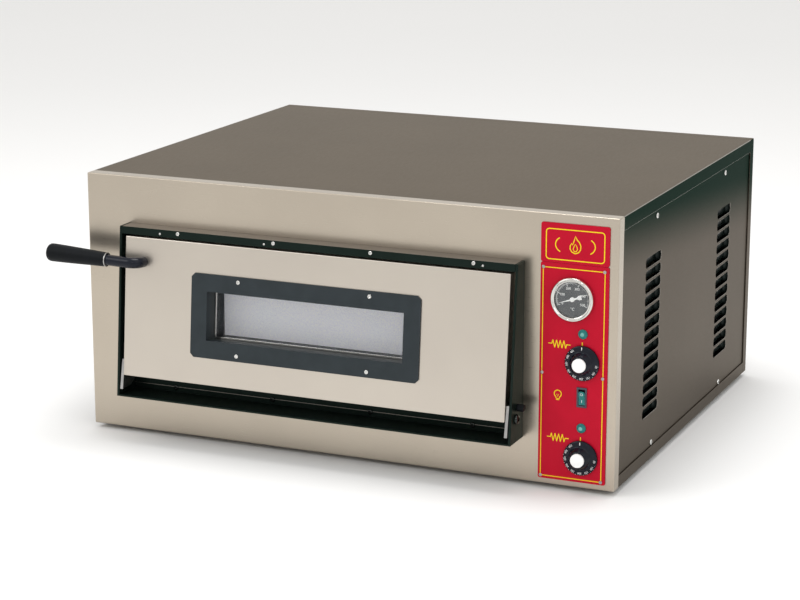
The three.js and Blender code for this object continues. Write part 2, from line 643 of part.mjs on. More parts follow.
// The thermometer: a cup with a bevelled rim, a needle on a hub, and a pane.
function addGauge() {
  const { x, z, bezel: rim, face: dial, body } = GAUGE;
  const dialY = -3;
  const cup = [
    [0, dialY], [dial, dialY], [dial, -8.2], [dial + 1.6, -9.4], [rim - 2.4, -9.6], [rim, -7.2],
    [rim, ON_PLATE], [body, ON_PLATE], [body, 36], [0, 36],
  ];
  add('gauge_case', turnedY(cup, x, z, 32), CHROME);

  const hub = turnedY([[0, -5.9], [3.6, -5.9], [3.6, dialY - GAP], [0, dialY - GAP]], 0, 0, 12);
  const pointer = alongY([[-23, 0], [-3, -1.2], [8, -1.2], [11, -3.4], [15, -3.4],
    [15, 3.4], [11, 3.4], [8, 1.2], [-3, 1.2]], [-5.2, -4.4]);
  const needle = add('gauge_needle', join(hub, pointer), plain(0xf2f2f2, 0.5));
  needle.position.set(x, 0, z);
  needle.rotation.y = THREE.MathUtils.degToRad(GAUGE.needleDegrees);

  const pane = turnedY([[0, -8], [dial - 0.4, -8], [dial - 0.4, -6.5], [0, -6.5]], x, z, 32);
  add('gauge_glass', pane, GLASS);
}

// A thermostat behind the panel: its shaft goes into the knob's bore.
function addThermostat(name, z) {
  const shaft = drillY(SHAFT.radius, KNOB_X, z, [-13, 3], 12);
  const housing = block(span(KNOB_X, 44), [SHEET + GAP, 46], span(z, 42));
  add(`${name}_thermostat`, join(housing, shaft), PORCELAIN);

  const profile = [
    [0, -21.5], [9.4, -21.5], [10.7, -20.4], [10.7, -17.6], [13, -17], [17.5, -9], [19.5, -7.6],
    [25.8, -6.8], [27, -5.4], [27, ON_PLATE - GAP], [SHAFT.bore, ON_PLATE - GAP], [SHAFT.bore, -14], [0, -14],
  ];
  add(`${name}_knob`, turnedY(profile, KNOB_X, z, 32), BLACK_PLASTIC);
}

function addPilotLamp(name, z) {
  const profile = [
    [0, -6.4], [4, -6], [6.4, -4.6], [PILOT.lens, -3], [PILOT.lens, ON_PLATE],
    [PILOT.body, ON_PLATE], [PILOT.body, 18], [0, 18],
  ];
  add(`${name}_pilot_lamp`, turnedY(profile, KNOB_X, z, 20), TEAL_LENS);
}

// The lamp's rocker switch, pressed at its lower end.
function addSwitch() {
  const { z, width, height } = SWITCH;
  const rim = block(span(KNOB_X, width), [ON_PLATE - 1.5, ON_PLATE], span(z, height));
  const body = block(span(KNOB_X, width - 3.2), [ON_PLATE - 1, 20], span(z, height - 2.4));
  const pocket = block(span(KNOB_X, width - 5.2), [-9, 9], span(z, height - 5.8));
  add('switch_housing', cut(join(rim, body), pocket), BLACK_PLASTIC);

  const outline = [[-7.5, -11], [3, -6], [3, 6], [-7.5, 11], [-6.2, 0]];
  const rocker = add('switch_rocker', alongX(outline, span(0, width - 5.8)), TEAL_LENS);
  rocker.position.set(KNOB_X, SWITCH.pivotY, z);
  rocker.rotation.x = THREE.MathUtils.degToRad(SWITCH.pressed);
}

// ---------------------------------------------------------------- at the back

function addGland() {
  const { x, z, radius } = GLAND;
  const back = DEPTH + GAP;
  const profile = [
    [0, back - 12], [radius, back - 12], [radius, back], [13, back], [13, back + 5.5], [11, back + 7],
    [10.5, back + 15], [9, back + 18], [4.2, back + 18], [4.2, back + 3], [0, back + 3],
  ];
  add('cable_gland', turnedY(profile, x, z, 12), BLACK_PLASTIC);
}

function addTerminalBlock() {
  const { width, y, z, slot, slotFloor, poles } = TERMINALS;
  const base = block(span(GLAND.x, width), y, z);
  const slots = Array.from({ length: poles }, (_, pole) => {
    const middle = GLAND.x - width / 2 + ((pole + 1) * width) / (poles + 1);
    return block(span(middle, slot), [y[0] - 1, y[1] + 1], [slotFloor, z[1] + 1]);
  });
  add('terminal_block', cut(base, ...slots), PORCELAIN);
}

addCasing();
addSurround();
addChamber();
addHearth();
addElements();
addInsulation();
addDoorSeal();
addChamberLamp();
addDoor();
addPivots();
addPlates();
addGauge();
addThermostat('upper', KNOB_Z.upper);
addThermostat('lower', KNOB_Z.lower);
addPilotLamp('upper', LAMP_Z.upper);
addPilotLamp('lower', LAMP_Z.lower);
addSwitch();
addGland();
addTerminalBlock();

// Stand the oven on z = 0 with its bounding box centred over the origin.
const box = new THREE.Box3().setFromObject(oven, true);
const middle = box.getCenter(new THREE.Vector3());
oven.position.set(-middle.x, -middle.y, -box.min.z);
oven.updateMatrixWorld(true);

export default oven;
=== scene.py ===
# %% [markdown]
# # A countertop pizza oven
# The measured parts of the oven come in as a fixed frame: every sheet, hinge and knob is already
# at its true place. This lesson dresses that frame. It rounds the folds of the sheet metal,
# presses the louvres, spins the knobs and the thermometer, prints the markings and gives each
# part its finish. Working on a measured frame was chosen because each new piece then has a place
# to fit.

import math

import bmesh
import bpy
from mathutils import Matrix, Vector


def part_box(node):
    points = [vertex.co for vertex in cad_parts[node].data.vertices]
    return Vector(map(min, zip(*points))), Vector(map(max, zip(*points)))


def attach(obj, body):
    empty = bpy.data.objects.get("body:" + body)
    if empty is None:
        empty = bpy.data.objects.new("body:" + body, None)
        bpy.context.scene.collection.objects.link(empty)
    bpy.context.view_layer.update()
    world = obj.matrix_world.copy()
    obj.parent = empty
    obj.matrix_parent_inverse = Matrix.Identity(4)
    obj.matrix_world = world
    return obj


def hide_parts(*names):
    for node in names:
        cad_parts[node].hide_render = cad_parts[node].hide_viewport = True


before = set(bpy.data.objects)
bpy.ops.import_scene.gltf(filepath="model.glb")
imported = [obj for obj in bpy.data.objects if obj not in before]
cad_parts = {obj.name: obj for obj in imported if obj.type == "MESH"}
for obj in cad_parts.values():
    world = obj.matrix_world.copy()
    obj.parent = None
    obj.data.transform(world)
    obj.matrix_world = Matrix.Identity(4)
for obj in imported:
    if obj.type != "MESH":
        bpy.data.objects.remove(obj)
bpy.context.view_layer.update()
bpy.ops.object.select_all(action="DESELECT")

# %% [markdown]
# Sheet metal drawings give millimetres from one zero point, so the lesson does the same. The zero
# point is the middle of the casing's width, on the front panel's face, at the casing's bottom
# edge. The frame is in metres from the middle of the whole oven, so one helper goes from
# millimetres to the frame and a second one goes back.

# %% Places in millimetres
MM = 0.001
panel_low, panel_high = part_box("front_panel")
ZERO_POINT = Vector(((panel_low.x + panel_high.x) / 2, panel_low.y, panel_low.z))


def at(x, y, z):
    return ZERO_POINT + Vector((x, y, z)) * MM


def in_mm(point):
    return (point - ZERO_POINT) / MM


HALF_WIDTH = 450
DEPTH = 735
HEIGHT = 420
DECK_MIDDLE = -36
print("zero point in the frame:", [round(v, 4) for v in ZERO_POINT])

# %% [markdown]
# The camera comes first, because it decides what is worth detailing. It stands at the right
# front, a little above the oven, with a long lens, so that the edges stay nearly parallel. The
# lens is set by the distance: a long lens far away keeps the true proportions of a box better
# than a short one.

# %% Camera
bpy.ops.object.camera_add(
    location=(1.5173, -3.5408, 1.1460), rotation=(math.pi / 2 - 0.2455, 0, 0.4117)
)
camera = bpy.context.object
camera.name = "camera"
camera.data.sensor_width = 36
camera.data.lens = 105.6
bpy.context.scene.camera = camera
print("lens:", camera.data.lens)

# %% [markdown]
# ## Helpers for edit mode
# Modelling by hand means: select some faces or edges, then run an operator on them. In a script
# the selecting is done by place or by direction. These helpers enter edit mode, select what a
# small test accepts, and leave again. A place counts as reached within a tenth of a millimetre,
# and a direction counts as along an axis when it leans no more than about 25 degrees from it.

# %% Selecting by place and direction
CLOSE = 0.1
ALONG = 0.9


def only(piece):
    if bpy.context.object and bpy.context.object.mode != "OBJECT":
        bpy.ops.object.mode_set(mode="OBJECT")
    bpy.ops.object.select_all(action="DESELECT")
    piece.select_set(True)
    bpy.context.view_layer.objects.active = piece
    return piece


def edit(piece, kind="FACE"):
    only(piece)
    bpy.ops.object.mode_set(mode="EDIT")
    bpy.ops.mesh.select_mode(type=kind)
    bpy.ops.mesh.select_all(action="SELECT")


def leave_edit():
    bpy.ops.object.mode_set(mode="OBJECT")


def pick_faces(piece, wanted):
    bpy.ops.mesh.select_mode(type="FACE")
    bpy.ops.mesh.select_all(action="DESELECT")
    shape = bmesh.from_edit_mesh(piece.data)
    picked = [f for f in shape.faces if wanted(in_mm(f.calc_center_median()), f.normal)]
    for face in picked:
        face.select_set(True)
    shape.select_flush_mode()
    bmesh.update_edit_mesh(piece.data)
    return len(picked)


def pick_edges(piece, wanted):
    bpy.ops.mesh.select_mode(type="EDGE")
    bpy.ops.mesh.select_all(action="DESELECT")
    shape = bmesh.from_edit_mesh(piece.data)
    picked = []
    for e in shape.edges:
        a, b = (in_mm(v.co) for v in e.verts)
        if wanted(a, b, (b - a).normalized()):
            picked.append(e)
    for e in picked:
        e.select_set(True)
    bmesh.update_edit_mesh(piece.data)
    return len(picked)


# %% [markdown]
# ## Helpers for finishing
# No edge of a real part is perfectly sharp, and the small round on it is what catches the light.
# A bevel modifier could stay live on each piece, but it is applied here, so that the mesh itself
# is finished. Weighted normals then keep the flats looking flat beside the rounds. A sheet full
# of openings has long thin faces, on which weighted normals would show as streaks, so such a
# sheet is shaded flat.

# %% Finishing a piece


def settle(piece):
    """Puts the piece's place into its mesh, so that its object stands at the origin."""
    only(piece)
    bpy.ops.object.transform_apply(location=True, rotation=True, scale=True)
    return piece


def soften(piece, width, segments=2, angle=30, even=False):
    """Rounds each sharp edge by the width in millimetres. Even pieces keep one shade to a face."""
    only(piece)
    bevel = piece.modifiers.new("rounded edges", "BEVEL")
    bevel.width = width * MM
    bevel.segments = segments
    bevel.limit_method = "ANGLE"
    bevel.angle_limit = math.radians(angle)
    bevel.use_clamp_overlap = False
    bpy.ops.object.modifier_apply(modifier=bevel.name)
    if even:
        bpy.ops.object.shade_flat()
        return piece
    bpy.ops.object.shade_smooth_by_angle(angle=math.radians(32))
    flat = piece.modifiers.new("flat faces stay flat", "WEIGHTED_NORMAL")
    flat.weight = 100
    flat.keep_sharp = True
    bpy.ops.object.modifier_apply(modifier=flat.name)
    return piece


def linked(name, data):
    """A new object for the mesh or curve, placed in the scene."""
    piece = bpy.data.objects.new(name, data)
    bpy.context.scene.collection.objects.link(piece)
    return piece


def joined(pieces, name):
    only(pieces[0])
    for piece in pieces:
        piece.select_set(True)
    bpy.ops.object.join()
    result = bpy.context.object
    result.name = result.data.name = name
    return result


def dress(piece, name, body, slot, *finishes, stands_for=()):
    """Names the piece, gives it its finish and its body, and says what it stands for."""
    piece.name = piece.data.name = name
    if finishes:
        piece.data.materials.clear()
        for each in finishes:
            piece.data.materials.append(each)
    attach(piece, body)
    if stands_for:
        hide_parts(*stands_for)
    print(name, "on", body, "faces:", len(piece.data.polygons))
    return piece


# %% [markdown]
# A part of the frame is a set of loose triangles. Its copy is merged, and its triangles are
# joined into whole flat faces, so that one edge of the metal is one edge to select. Working on a
# copy was chosen over drawing the sheet again, because a copy can't stray from its measured
# place.

# %% Copy of a frame part


def copy_of(node, flat_faces=True):
    """A copy of a frame part, its loose triangles merged, and joined into clean flat faces."""
    piece = linked(node + "_copy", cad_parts[node].data.copy())
    only(piece)
    if piece.data.has_custom_normals:
        bpy.ops.mesh.customdata_custom_splitnormals_clear()
    edit(piece, "VERT")
    bpy.ops.mesh.remove_doubles(threshold=0.00001)
    if flat_faces:
        bpy.ops.mesh.dissolve_limited(angle_limit=math.radians(1))
    leave_edit()
    return piece


def fold(piece, wanted, radius, segments=4):
    """Gives the chosen edges the round of a bent sheet."""
    edit(piece, "EDGE")
    count = pick_edges(piece, wanted)
    if count:
        bpy.ops.mesh.bevel(offset=radius * MM, segments=segments, affect="EDGES",
                           clamp_overlap=False)
    leave_edit()
    return count


# %% [markdown]
# New pieces start from a block, from a profile that is spun round an axis, or from a line or a
# letter that lies flat. A spun profile was chosen for whatever comes off a lathe, because one
# outline then holds all its steps and rounds. Printing starts as a curve or as text, which has
# its width set before it becomes a mesh.

# %% Box, turned shape and flat line


def only_nothing():
    if bpy.context.object and bpy.context.object.mode != "OBJECT":
        bpy.ops.object.mode_set(mode="OBJECT")
    bpy.ops.object.select_all(action="DESELECT")


def box(low, high):
    """A block between two corners in millimetres."""
    only_nothing()
    low, high = at(*low), at(*high)
    bpy.ops.mesh.primitive_cube_add(size=1, location=(low + high) / 2, scale=high - low)
    return settle(bpy.context.object)


def turned(profile, middle, axis="Y", steps=64, edge=0.0):
    """Spins a profile of (radius, place along the axis). Ends on the axis close the shape."""
    cx, cy, cz = middle
    if axis == "Y":
        points = [at(cx + r, along, cz) for r, along in profile]
        line = (0, 1, 0)
    elif axis == "X":
        points = [at(along, cy, cz + r) for r, along in profile]
        line = (1, 0, 0)
    else:
        points = [at(cx + r, cy, along) for r, along in profile]
        line = (0, 0, 1)
    mesh = bpy.data.meshes.new("profile")
    mesh.from_pydata(points, [(i, i + 1) for i in range(len(points) - 1)], [])
    piece = linked("profile", mesh)
    edit(piece, "VERT")
    bpy.ops.mesh.spin(steps=steps, angle=2 * math.pi, center=at(cx, cy, cz), axis=line,
                      dupli=False)
    bpy.ops.mesh.select_all(action="SELECT")
    bpy.ops.mesh.remove_doubles(threshold=0.000005)
    bpy.ops.mesh.normals_make_consistent(inside=False)
    leave_edit()
    if edge:
        soften(piece, edge, 3, 25)
    else:
        only(piece)
        bpy.ops.object.shade_smooth_by_angle(angle=math.radians(32))
    return piece


def flat_line(points, width, closed=False, proud=0.08):
    """A printed line through points of (x, z) millimetres round its own zero, facing the front."""
    curve = bpy.data.curves.new("line", "CURVE")
    curve.dimensions = "3D"
    curve.bevel_depth = width / 2
    curve.bevel_resolution = 2
    curve.use_fill_caps = True
    spline = curve.splines.new("POLY")
    spline.points.add(len(points) - 1)
    for spot, (x, z) in zip(spline.points, points):
        spot.co = (x, 0, z, 1)
    spline.use_cyclic_u = closed
    only(linked("line", curve))
    bpy.ops.object.convert(target="MESH")
    line = bpy.context.object
    line.data.transform(Matrix.Diagonal((1, proud / width, 1, 1)))
    return line


def strokes(points, width, proud=0.08):
    """A printed zigzag with full width in every stroke: one short line between each two points."""
    made = []
    for (x0, z0), (x1, z1) in zip(points, points[1:]):
        length = math.hypot(x1 - x0, z1 - z0)
        over_x, over_z = (x1 - x0) / length * width * 0.3, (z1 - z0) / length * width * 0.3
        ends = [(x0 - over_x, z0 - over_z), (x1 + over_x, z1 + over_z)]
        made.append(flat_line(ends, width, proud=proud))
    return joined(made, "strokes")


def flat_text(words, height, turn=0.0):
    """Lettering that faces the front, round its own zero, turned clockwise by degrees."""
    only_nothing()
    bpy.ops.object.text_add()
    text = bpy.context.object
    text.data.body = words
    text.data.size = height * 1.38
    text.data.align_x = "CENTER"
    text.data.align_y = "CENTER"
    text.data.extrude = 0.04
    text.data.resolution_u = 3
    bpy.ops.object.convert(target="MESH")
    text = bpy.context.object
    upright = Matrix.Rotation(math.pi / 2, 4, "X")
    text.data.transform(upright @ Matrix.Rotation(-math.radians(turn), 4, "Z"))
    return text


def put(piece, x, y, z):
    """Moves a small piece, made in millimetres round its own zero, to its place in the frame."""
    piece.data.transform(Matrix.Translation(at(x, y, z)) @ Matrix.Diagonal((MM, MM, MM, 1)))
    return piece


def rectangle(x0, x1, z0, z1, corner=0.0, steps=6):
    """The outline of a rectangle with round corners, as (x, z) points."""
    if not corner:
        return [(x0, z0), (x1, z0), (x1, z1), (x0, z1)]
    outline = []
    turns = [(x1 - corner, z0 + corner, -90), (x1 - corner, z1 - corner, 0),
             (x0 + corner, z1 - corner, 90), (x0 + corner, z0 + corner, 180)]
    for cx, cz, start in turns:
        for step in range(steps + 1):
            turn = math.radians(start + 90 * step / steps)
            outline.append((cx + corner * math.cos(turn), cz + corner * math.sin(turn)))
    return outline


# %% [markdown]
# ## Finishes
# Real metal is never one colour: rolling leaves a grain, polishing leaves cloudy patches, and
# hands leave the gloss uneven. Each finish is a Principled shader whose colour comes from a noise
# through a two-colour ramp, whose roughness wanders with a second noise, and whose fine grain is
# a bump. The patterns read the object's own coordinates, so they stay put when the door or a knob
# moves.

# %% Finish maker


def finish(name, colour, other, rough, metal=0.0, patch=12, grain=900, bump=0.0,
           rough_play=0.06, detail=3.0, gloss=0.5, edge=None):
    """Patch is the size of the cloudy pattern and grain that of the fine bump, in turns a metre.

    Grain is one number, or three where the metal was brushed one way."""
    material = bpy.data.materials.new(name)
    material.use_nodes = True
    nodes, links = material.node_tree.nodes, material.node_tree.links
    shader = nodes["Principled BSDF"]
    shader.inputs["Metallic"].default_value = metal
    shader.inputs["Specular IOR Level"].default_value = gloss
    if edge:
        shader.inputs["Specular Tint"].default_value = (*edge, 1)
    place = nodes.new("ShaderNodeTexCoord")

    cloud = nodes.new("ShaderNodeTexNoise")
    cloud.inputs["Scale"].default_value = patch
    cloud.inputs["Detail"].default_value = detail
    links.new(place.outputs["Object"], cloud.inputs["Vector"])
    ramp = nodes.new("ShaderNodeValToRGB")
    ramp.color_ramp.elements[0].position = 0.35
    ramp.color_ramp.elements[0].color = (*other, 1)
    ramp.color_ramp.elements[1].position = 0.65
    ramp.color_ramp.elements[1].color = (*colour, 1)
    links.new(cloud.outputs["Fac"], ramp.inputs["Fac"])
    links.new(ramp.outputs["Color"], shader.inputs["Base Color"])

    stretch = nodes.new("ShaderNodeMapping")
    stretch.inputs["Scale"].default_value = grain if isinstance(grain, tuple) else (grain,) * 3
    links.new(place.outputs["Object"], stretch.inputs["Vector"])
    fine = nodes.new("ShaderNodeTexNoise")
    fine.inputs["Scale"].default_value = 1.0
    fine.inputs["Detail"].default_value = 2.0
    links.new(stretch.outputs["Vector"], fine.inputs["Vector"])
    play = nodes.new("ShaderNodeMapRange")
    play.inputs["To Min"].default_value = max(0.02, rough - rough_play)
    play.inputs["To Max"].default_value = rough + rough_play
    links.new(fine.outputs["Fac"], play.inputs["Value"])
    links.new(play.outputs["Result"], shader.inputs["Roughness"])
    if bump:
        relief = nodes.new("ShaderNodeBump")
        relief.inputs["Strength"].default_value = bump
        relief.inputs["Distance"].default_value = 0.0005
        links.new(fine.outputs["Fac"], relief.inputs["Height"])
        links.new(relief.outputs["Normal"], shader.inputs["Normal"])
    return material


def self_lit(material, colour, strength):
    """Lets a little light come from the finish itself."""
    shader = material.node_tree.nodes["Principled BSDF"]
    shader.inputs["Emission Color"].default_value = (*colour, 1)
    shader.inputs["Emission Strength"].default_value = strength


# %% The oven's finishes
satin_stainless = finish("satin stainless", (0.480, 0.424, 0.350), (0.457, 0.403, 0.333), 0.3, 1.0,
                         patch=6, grain=(60, 60, 2400), bump=0.03)
door_stainless = finish("door stainless", (0.575, 0.525, 0.46), (0.55, 0.50, 0.44), 0.34, 1.0,
                        patch=6, grain=(60, 60, 2400), bump=0.03)
cover_steel = finish("cover steel", (0.130, 0.106, 0.084), (0.120, 0.098, 0.078), 0.36, 1.0,
                     patch=5, grain=(1500, 60, 60), bump=0.03, edge=(0.73, 0.70, 0.65))
# Painted shade: the louvre tongues are pressed from the side sheet, but get this near-black
# finish.
louvre_painted_shade = finish("louvre painted shade", (0.012, 0.019, 0.017), (0.008, 0.013, 0.012), 0.3, 0.3,
                      patch=30, grain=900, bump=0.02, gloss=0.2)
surround_black = finish("surround black", (0.012, 0.020, 0.017), (0.010, 0.017, 0.014), 0.30, 0.5,
                        patch=25, grain=1400, bump=0.05, gloss=0.10, edge=(0.60, 0.60, 0.58))
# Painted light: a lighter finish for the hood's upward faces.
hood_top_painted_light = finish("hood top painted light", (0.26, 0.235, 0.215), (0.24, 0.217, 0.20), 0.36, 1.0,
                    patch=25, grain=(1400, 100, 100), bump=0.03)
# Painted highlight: a lighter steel for the rounded edges and the sill's fold.
painted_highlight_steel = finish("painted highlight steel", (0.30, 0.28, 0.25), (0.26, 0.245, 0.22), 0.3, 1.0,
                    patch=40, grain=900, bump=0.02)
bezel_grey = finish("bezel grey", (0.021, 0.029, 0.034), (0.017, 0.024, 0.028), 0.42, 0.0,
                    patch=40, grain=2200, bump=0.10, gloss=0.25)
chamber_steel = finish("chamber steel", (0.34, 0.32, 0.29), (0.24, 0.215, 0.18), 0.5, 0.9,
                       patch=9, grain=(40, 900, 900), bump=0.05)
bare_steel = finish("bare steel", (0.44, 0.43, 0.42), (0.36, 0.355, 0.35), 0.32, 1.0,
                    patch=60, grain=(300, 1800, 1800), bump=0.08)
chrome = finish("chrome", (0.66, 0.65, 0.62), (0.62, 0.61, 0.58), 0.07, 1.0,
                patch=50, grain=700, rough_play=0.03)
screw_steel = finish("screw steel", (0.72, 0.72, 0.70), (0.60, 0.60, 0.58), 0.16, 1.0,
                     patch=300, grain=1600, rough_play=0.05)
dark_screw = finish("dark screw", (0.05, 0.055, 0.052), (0.035, 0.04, 0.038), 0.12, 1.0,
                    patch=300, grain=1600, rough_play=0.04)
# Painted reflection: the knob caps' white stands in for the reflection on their chrome.
cap_white_painted_reflection = finish("cap white painted reflection", (0.93, 0.94, 0.94), (0.89, 0.90, 0.90), 0.25, 0.0,
                   patch=120, grain=1600, bump=0.02)
element_sheath = finish("element sheath", (0.10, 0.085, 0.075), (0.055, 0.05, 0.05), 0.5, 0.8,
                        patch=35, grain=1200, bump=0.12)
red_enamel = finish("red enamel", (0.49, 0.0028, 0.022), (0.46, 0.0024, 0.020), 0.4, 0.0,
                    patch=30, grain=1300, bump=0.04, gloss=0.12)
black_plastic = finish("black plastic", (0.004, 0.005, 0.007), (0.003, 0.004, 0.005), 0.5, 0.0,
                       patch=80, grain=2600, bump=0.22, gloss=0.12)
knob_black = finish("knob black", (0.005, 0.007, 0.014), (0.004, 0.005, 0.011), 0.22, 0.0,
                    patch=80, grain=2600, bump=0.05, gloss=0.22)
switch_grey = finish("switch grey", (0.062, 0.064, 0.085), (0.052, 0.054, 0.073), 0.4, 0.0,
                     patch=80, grain=2200, bump=0.08, gloss=0.3)
teal_lens = finish("teal lens", (0.012, 0.19, 0.18), (0.008, 0.14, 0.135), 0.14, 0.0,
                   patch=220, grain=1200, bump=0.03, gloss=0.3)
pale_teal = finish("pale teal", (0.15, 0.44, 0.40), (0.11, 0.36, 0.33), 0.2, 0.0,
                   patch=220, grain=1200, bump=0.03)
rubber = finish("rubber", (0.016, 0.016, 0.016), (0.010, 0.010, 0.010), 0.8, 0.0,
                patch=60, grain=1800, bump=0.3)
hearth_stone = finish("hearth stone", (0.52, 0.45, 0.34), (0.40, 0.33, 0.24), 0.9, 0.0,
                      patch=22, grain=650, bump=0.55, detail=8.0)
mineral_wool = finish("mineral wool", (0.34, 0.30, 0.20), (0.22, 0.19, 0.12), 1.0, 0.0,
                      patch=90, grain=(260, 1400, 1400), bump=0.9, rough_play=0.0)
porcelain = finish("porcelain", (0.78, 0.75, 0.68), (0.70, 0.67, 0.60), 0.3, 0.0,
                   patch=40, grain=800, bump=0.04)
white_print = finish("white print", (0.88, 0.89, 0.89), (0.80, 0.81, 0.81), 0.5, 0.0,
                     patch=300, grain=2400, bump=0.03)
gauge_white_painted_light = finish("gauge white painted light", (0.90, 0.90, 0.89), (0.84, 0.84, 0.83), 0.5, 0.0,
                     patch=300, grain=2400, bump=0.03)
# Painted light: the dial's print and the needle glow, making up for the light that the gauge's
# glass keeps off them.
self_lit(gauge_white_painted_light, (0.9, 0.9, 0.88), 0.3)
yellow_print = finish("yellow print", (0.88, 0.66, 0.012), (0.82, 0.60, 0.009), 0.5, 0.0,
                      patch=200, grain=2400, bump=0.03, gloss=0.2)
dial_grey = finish("dial grey", (0.095, 0.105, 0.113), (0.082, 0.092, 0.099), 0.45, 0.0,
                   patch=120, grain=2400, bump=0.04, gloss=0.2)
print("finishes:", len(bpy.data.materials))

# %% [markdown]
# The side sheets hang in the shade of the cover's edge: towards the top their satin face is
# nearly black-green, and lower down it is a warm grey. Their finish therefore has painted shade,
# a ramp along the height that darkens the upper part, under the same cloudy pattern. The ramp
# also dims the tint of the metal's shine at low angles, where any metal otherwise turns white,
# which is a painted reflection. Painting the ramp on the sheet was chosen over a light placed
# for it alone, because such a light would spoil the other sides.

# %% Side sheet finish with painted shade
SHADE_FROM, SHADE_TO = 0.30, 0.405
RAMP_LEAN = 0.085


def painted_shade_steel(name):
    material = finish(name, (0.125, 0.108, 0.088), (0.115, 0.099, 0.081), 0.33, 1.0,
                      patch=5, grain=(60, 60, 1600), bump=0.04)
    nodes, links = material.node_tree.nodes, material.node_tree.links
    shader = nodes["Principled BSDF"]
    place = next(n for n in nodes if n.type == "TEX_COORD")
    cloudy = next(n for n in nodes if n.type == "VALTORGB")
    upwards = nodes.new("ShaderNodeVectorMath")
    upwards.operation = "DOT_PRODUCT"
    upwards.inputs[1].default_value = (0, RAMP_LEAN, 1)
    links.new(place.outputs["Object"], upwards.inputs[0])
    height = nodes.new("ShaderNodeMapRange")
    height.interpolation_type = "SMOOTHSTEP"
    height.inputs["From Min"].default_value = SHADE_FROM
    height.inputs["From Max"].default_value = SHADE_TO
    links.new(upwards.outputs["Value"], height.inputs["Value"])
    # Painted shade: towards the top the colour is mixed into near black-green.
    shade = nodes.new("ShaderNodeMix")
    shade.data_type = "RGBA"
    shade.inputs["B"].default_value = (0.022, 0.031, 0.027, 1)
    links.new(height.outputs["Result"], shade.inputs["Factor"])
    links.new(cloudy.outputs["Color"], shade.inputs["A"])
    links.new(shade.outputs["Result"], shader.inputs["Base Color"])
    # Painted reflection: the tint of the shine darkens towards the top as well.
    shine = nodes.new("ShaderNodeMix")
    shine.data_type = "RGBA"
    shine.inputs["A"].default_value = (0.65, 0.63, 0.61, 1)
    shine.inputs["B"].default_value = (0.41, 0.45, 0.43, 1)
    links.new(height.outputs["Result"], shine.inputs["Factor"])
    links.new(shine.outputs["Result"], shader.inputs["Specular Tint"])
    return material


painted_shade_side_steel = painted_shade_steel("side steel with painted shade")
print(painted_shade_side_steel.name)

# %% [markdown]
# The panes are clear: light goes through, and only a faint haze on the surface catches it. The
# inner pane has lived next to the fire, so it is covered with a fine pale bloom, which a noise
# scatters as light specks over grey. The pane also glows a little, painted light that stands for
# the chamber lamp's light coming through it. The side that faces the fire is browned, so that
# pane has a second finish there.

# %% Glass finishes


def clear_glass(name, haze):
    material = finish(name, (1.0, 1.0, 1.0), (0.97, 0.985, 0.98), haze, 0.0, patch=20,
                      grain=500, rough_play=haze / 2)
    shader = material.node_tree.nodes["Principled BSDF"]
    shader.inputs["Transmission Weight"].default_value = 1.0
    shader.inputs["IOR"].default_value = 1.45
    return material


pane_glass = clear_glass("pane glass", 0.03)
hazed_glass = finish("hazed glass", (0.96, 0.96, 1.0), (0.80, 0.80, 0.86), 0.35, 0.0, patch=600,
                     grain=1500, bump=0.15, detail=6.0)
# Painted light: the pane glows, though no lamp lights it.
self_lit(hazed_glass, (0.9, 0.9, 1.0), 0.10)
fired_glass = finish("fired glass", (0.20, 0.175, 0.15), (0.14, 0.12, 0.10), 0.25, 0.0, patch=14,
                     grain=700, bump=0.05, detail=6.0)
print(pane_glass.name, hazed_glass.name, fired_glass.name)

# %% [markdown]
# ## The casing
# The front is a shallow tray bent from one sheet, with its edges turned back. A bend in 1.5 mm
# sheet has an outside radius of about 2 mm, and it is that radius which catches a thin line of
# light. The part is copied from the frame, its long outer edges are bevelled by that radius, and
# its cut edges are only broken a little, as a deburring tool leaves them.

# %% Front panel
SHEET_FOLD = 2


def tray_fold(face):
    """Accepts the outline of a tray's face, which lies at one y, and the tray's four corners."""
    def wanted(a, b, way):
        at_side = [abs(p.x) > HALF_WIDTH - CLOSE for p in (a, b)]
        at_end = [p.z < CLOSE or p.z > HEIGHT - CLOSE for p in (a, b)]
        on_face = all(abs(p.y - face) < CLOSE for p in (a, b))
        outline = on_face and all(side or end for side, end in zip(at_side, at_end))
        return outline or (abs(way.y) > ALONG and at_side[0] and at_end[0])
    return wanted


front = copy_of("front_panel")
print("front folds:", fold(front, tray_fold(0), SHEET_FOLD))
soften(front, 0.3)
dress(front, "front_sheet", "casing", "satin_stainless", satin_stainless,
      stands_for=["front_panel"])

# %% [markdown]
# The cover is a flat sheet with a narrow flange down each side, and the base tray mirrors it
# below. Both are bent along the sides only, so only their long corners get the fold's radius. The
# cover has three finishes: the plain sheet, the sides' finish with painted shade on its flanges,
# and a lighter one on the rounded edges, which is a painted highlight along them. Giving a few
# faces another finish was chosen over a separate strip, because the edge then stays one with the
# sheet.

# %% Top cover and base tray
FACES_AN_AXIS = 0.97
FACES_SIDEWAYS = 0.75


def long_corner(level):
    """Accepts the corners that run from front to back at a height."""
    def wanted(a, b, way):
        return abs(way.y) > ALONG and abs(a.x) > HALF_WIDTH - CLOSE and abs(a.z - level) < CLOSE
    return wanted


def is_edge(face):
    """A face of a rounded edge looks along none of the three directions."""
    return max(abs(part) for part in face.normal) < FACES_AN_AXIS


cover = copy_of("top_cover")
print("cover folds:", fold(cover, long_corner(HEIGHT), SHEET_FOLD))
soften(cover, 0.5)
dress(cover, "top_cover_sheet", "casing", "casing_steel", cover_steel, painted_shade_side_steel, painted_highlight_steel,
      stands_for=["top_cover"])
# Index 2 is the painted highlight on the rounded edges, index 1 the painted shade on the flanges.
for face in cover.data.polygons:
    face.material_index = 2 if is_edge(face) else 1 if abs(face.normal.x) > FACES_SIDEWAYS else 0

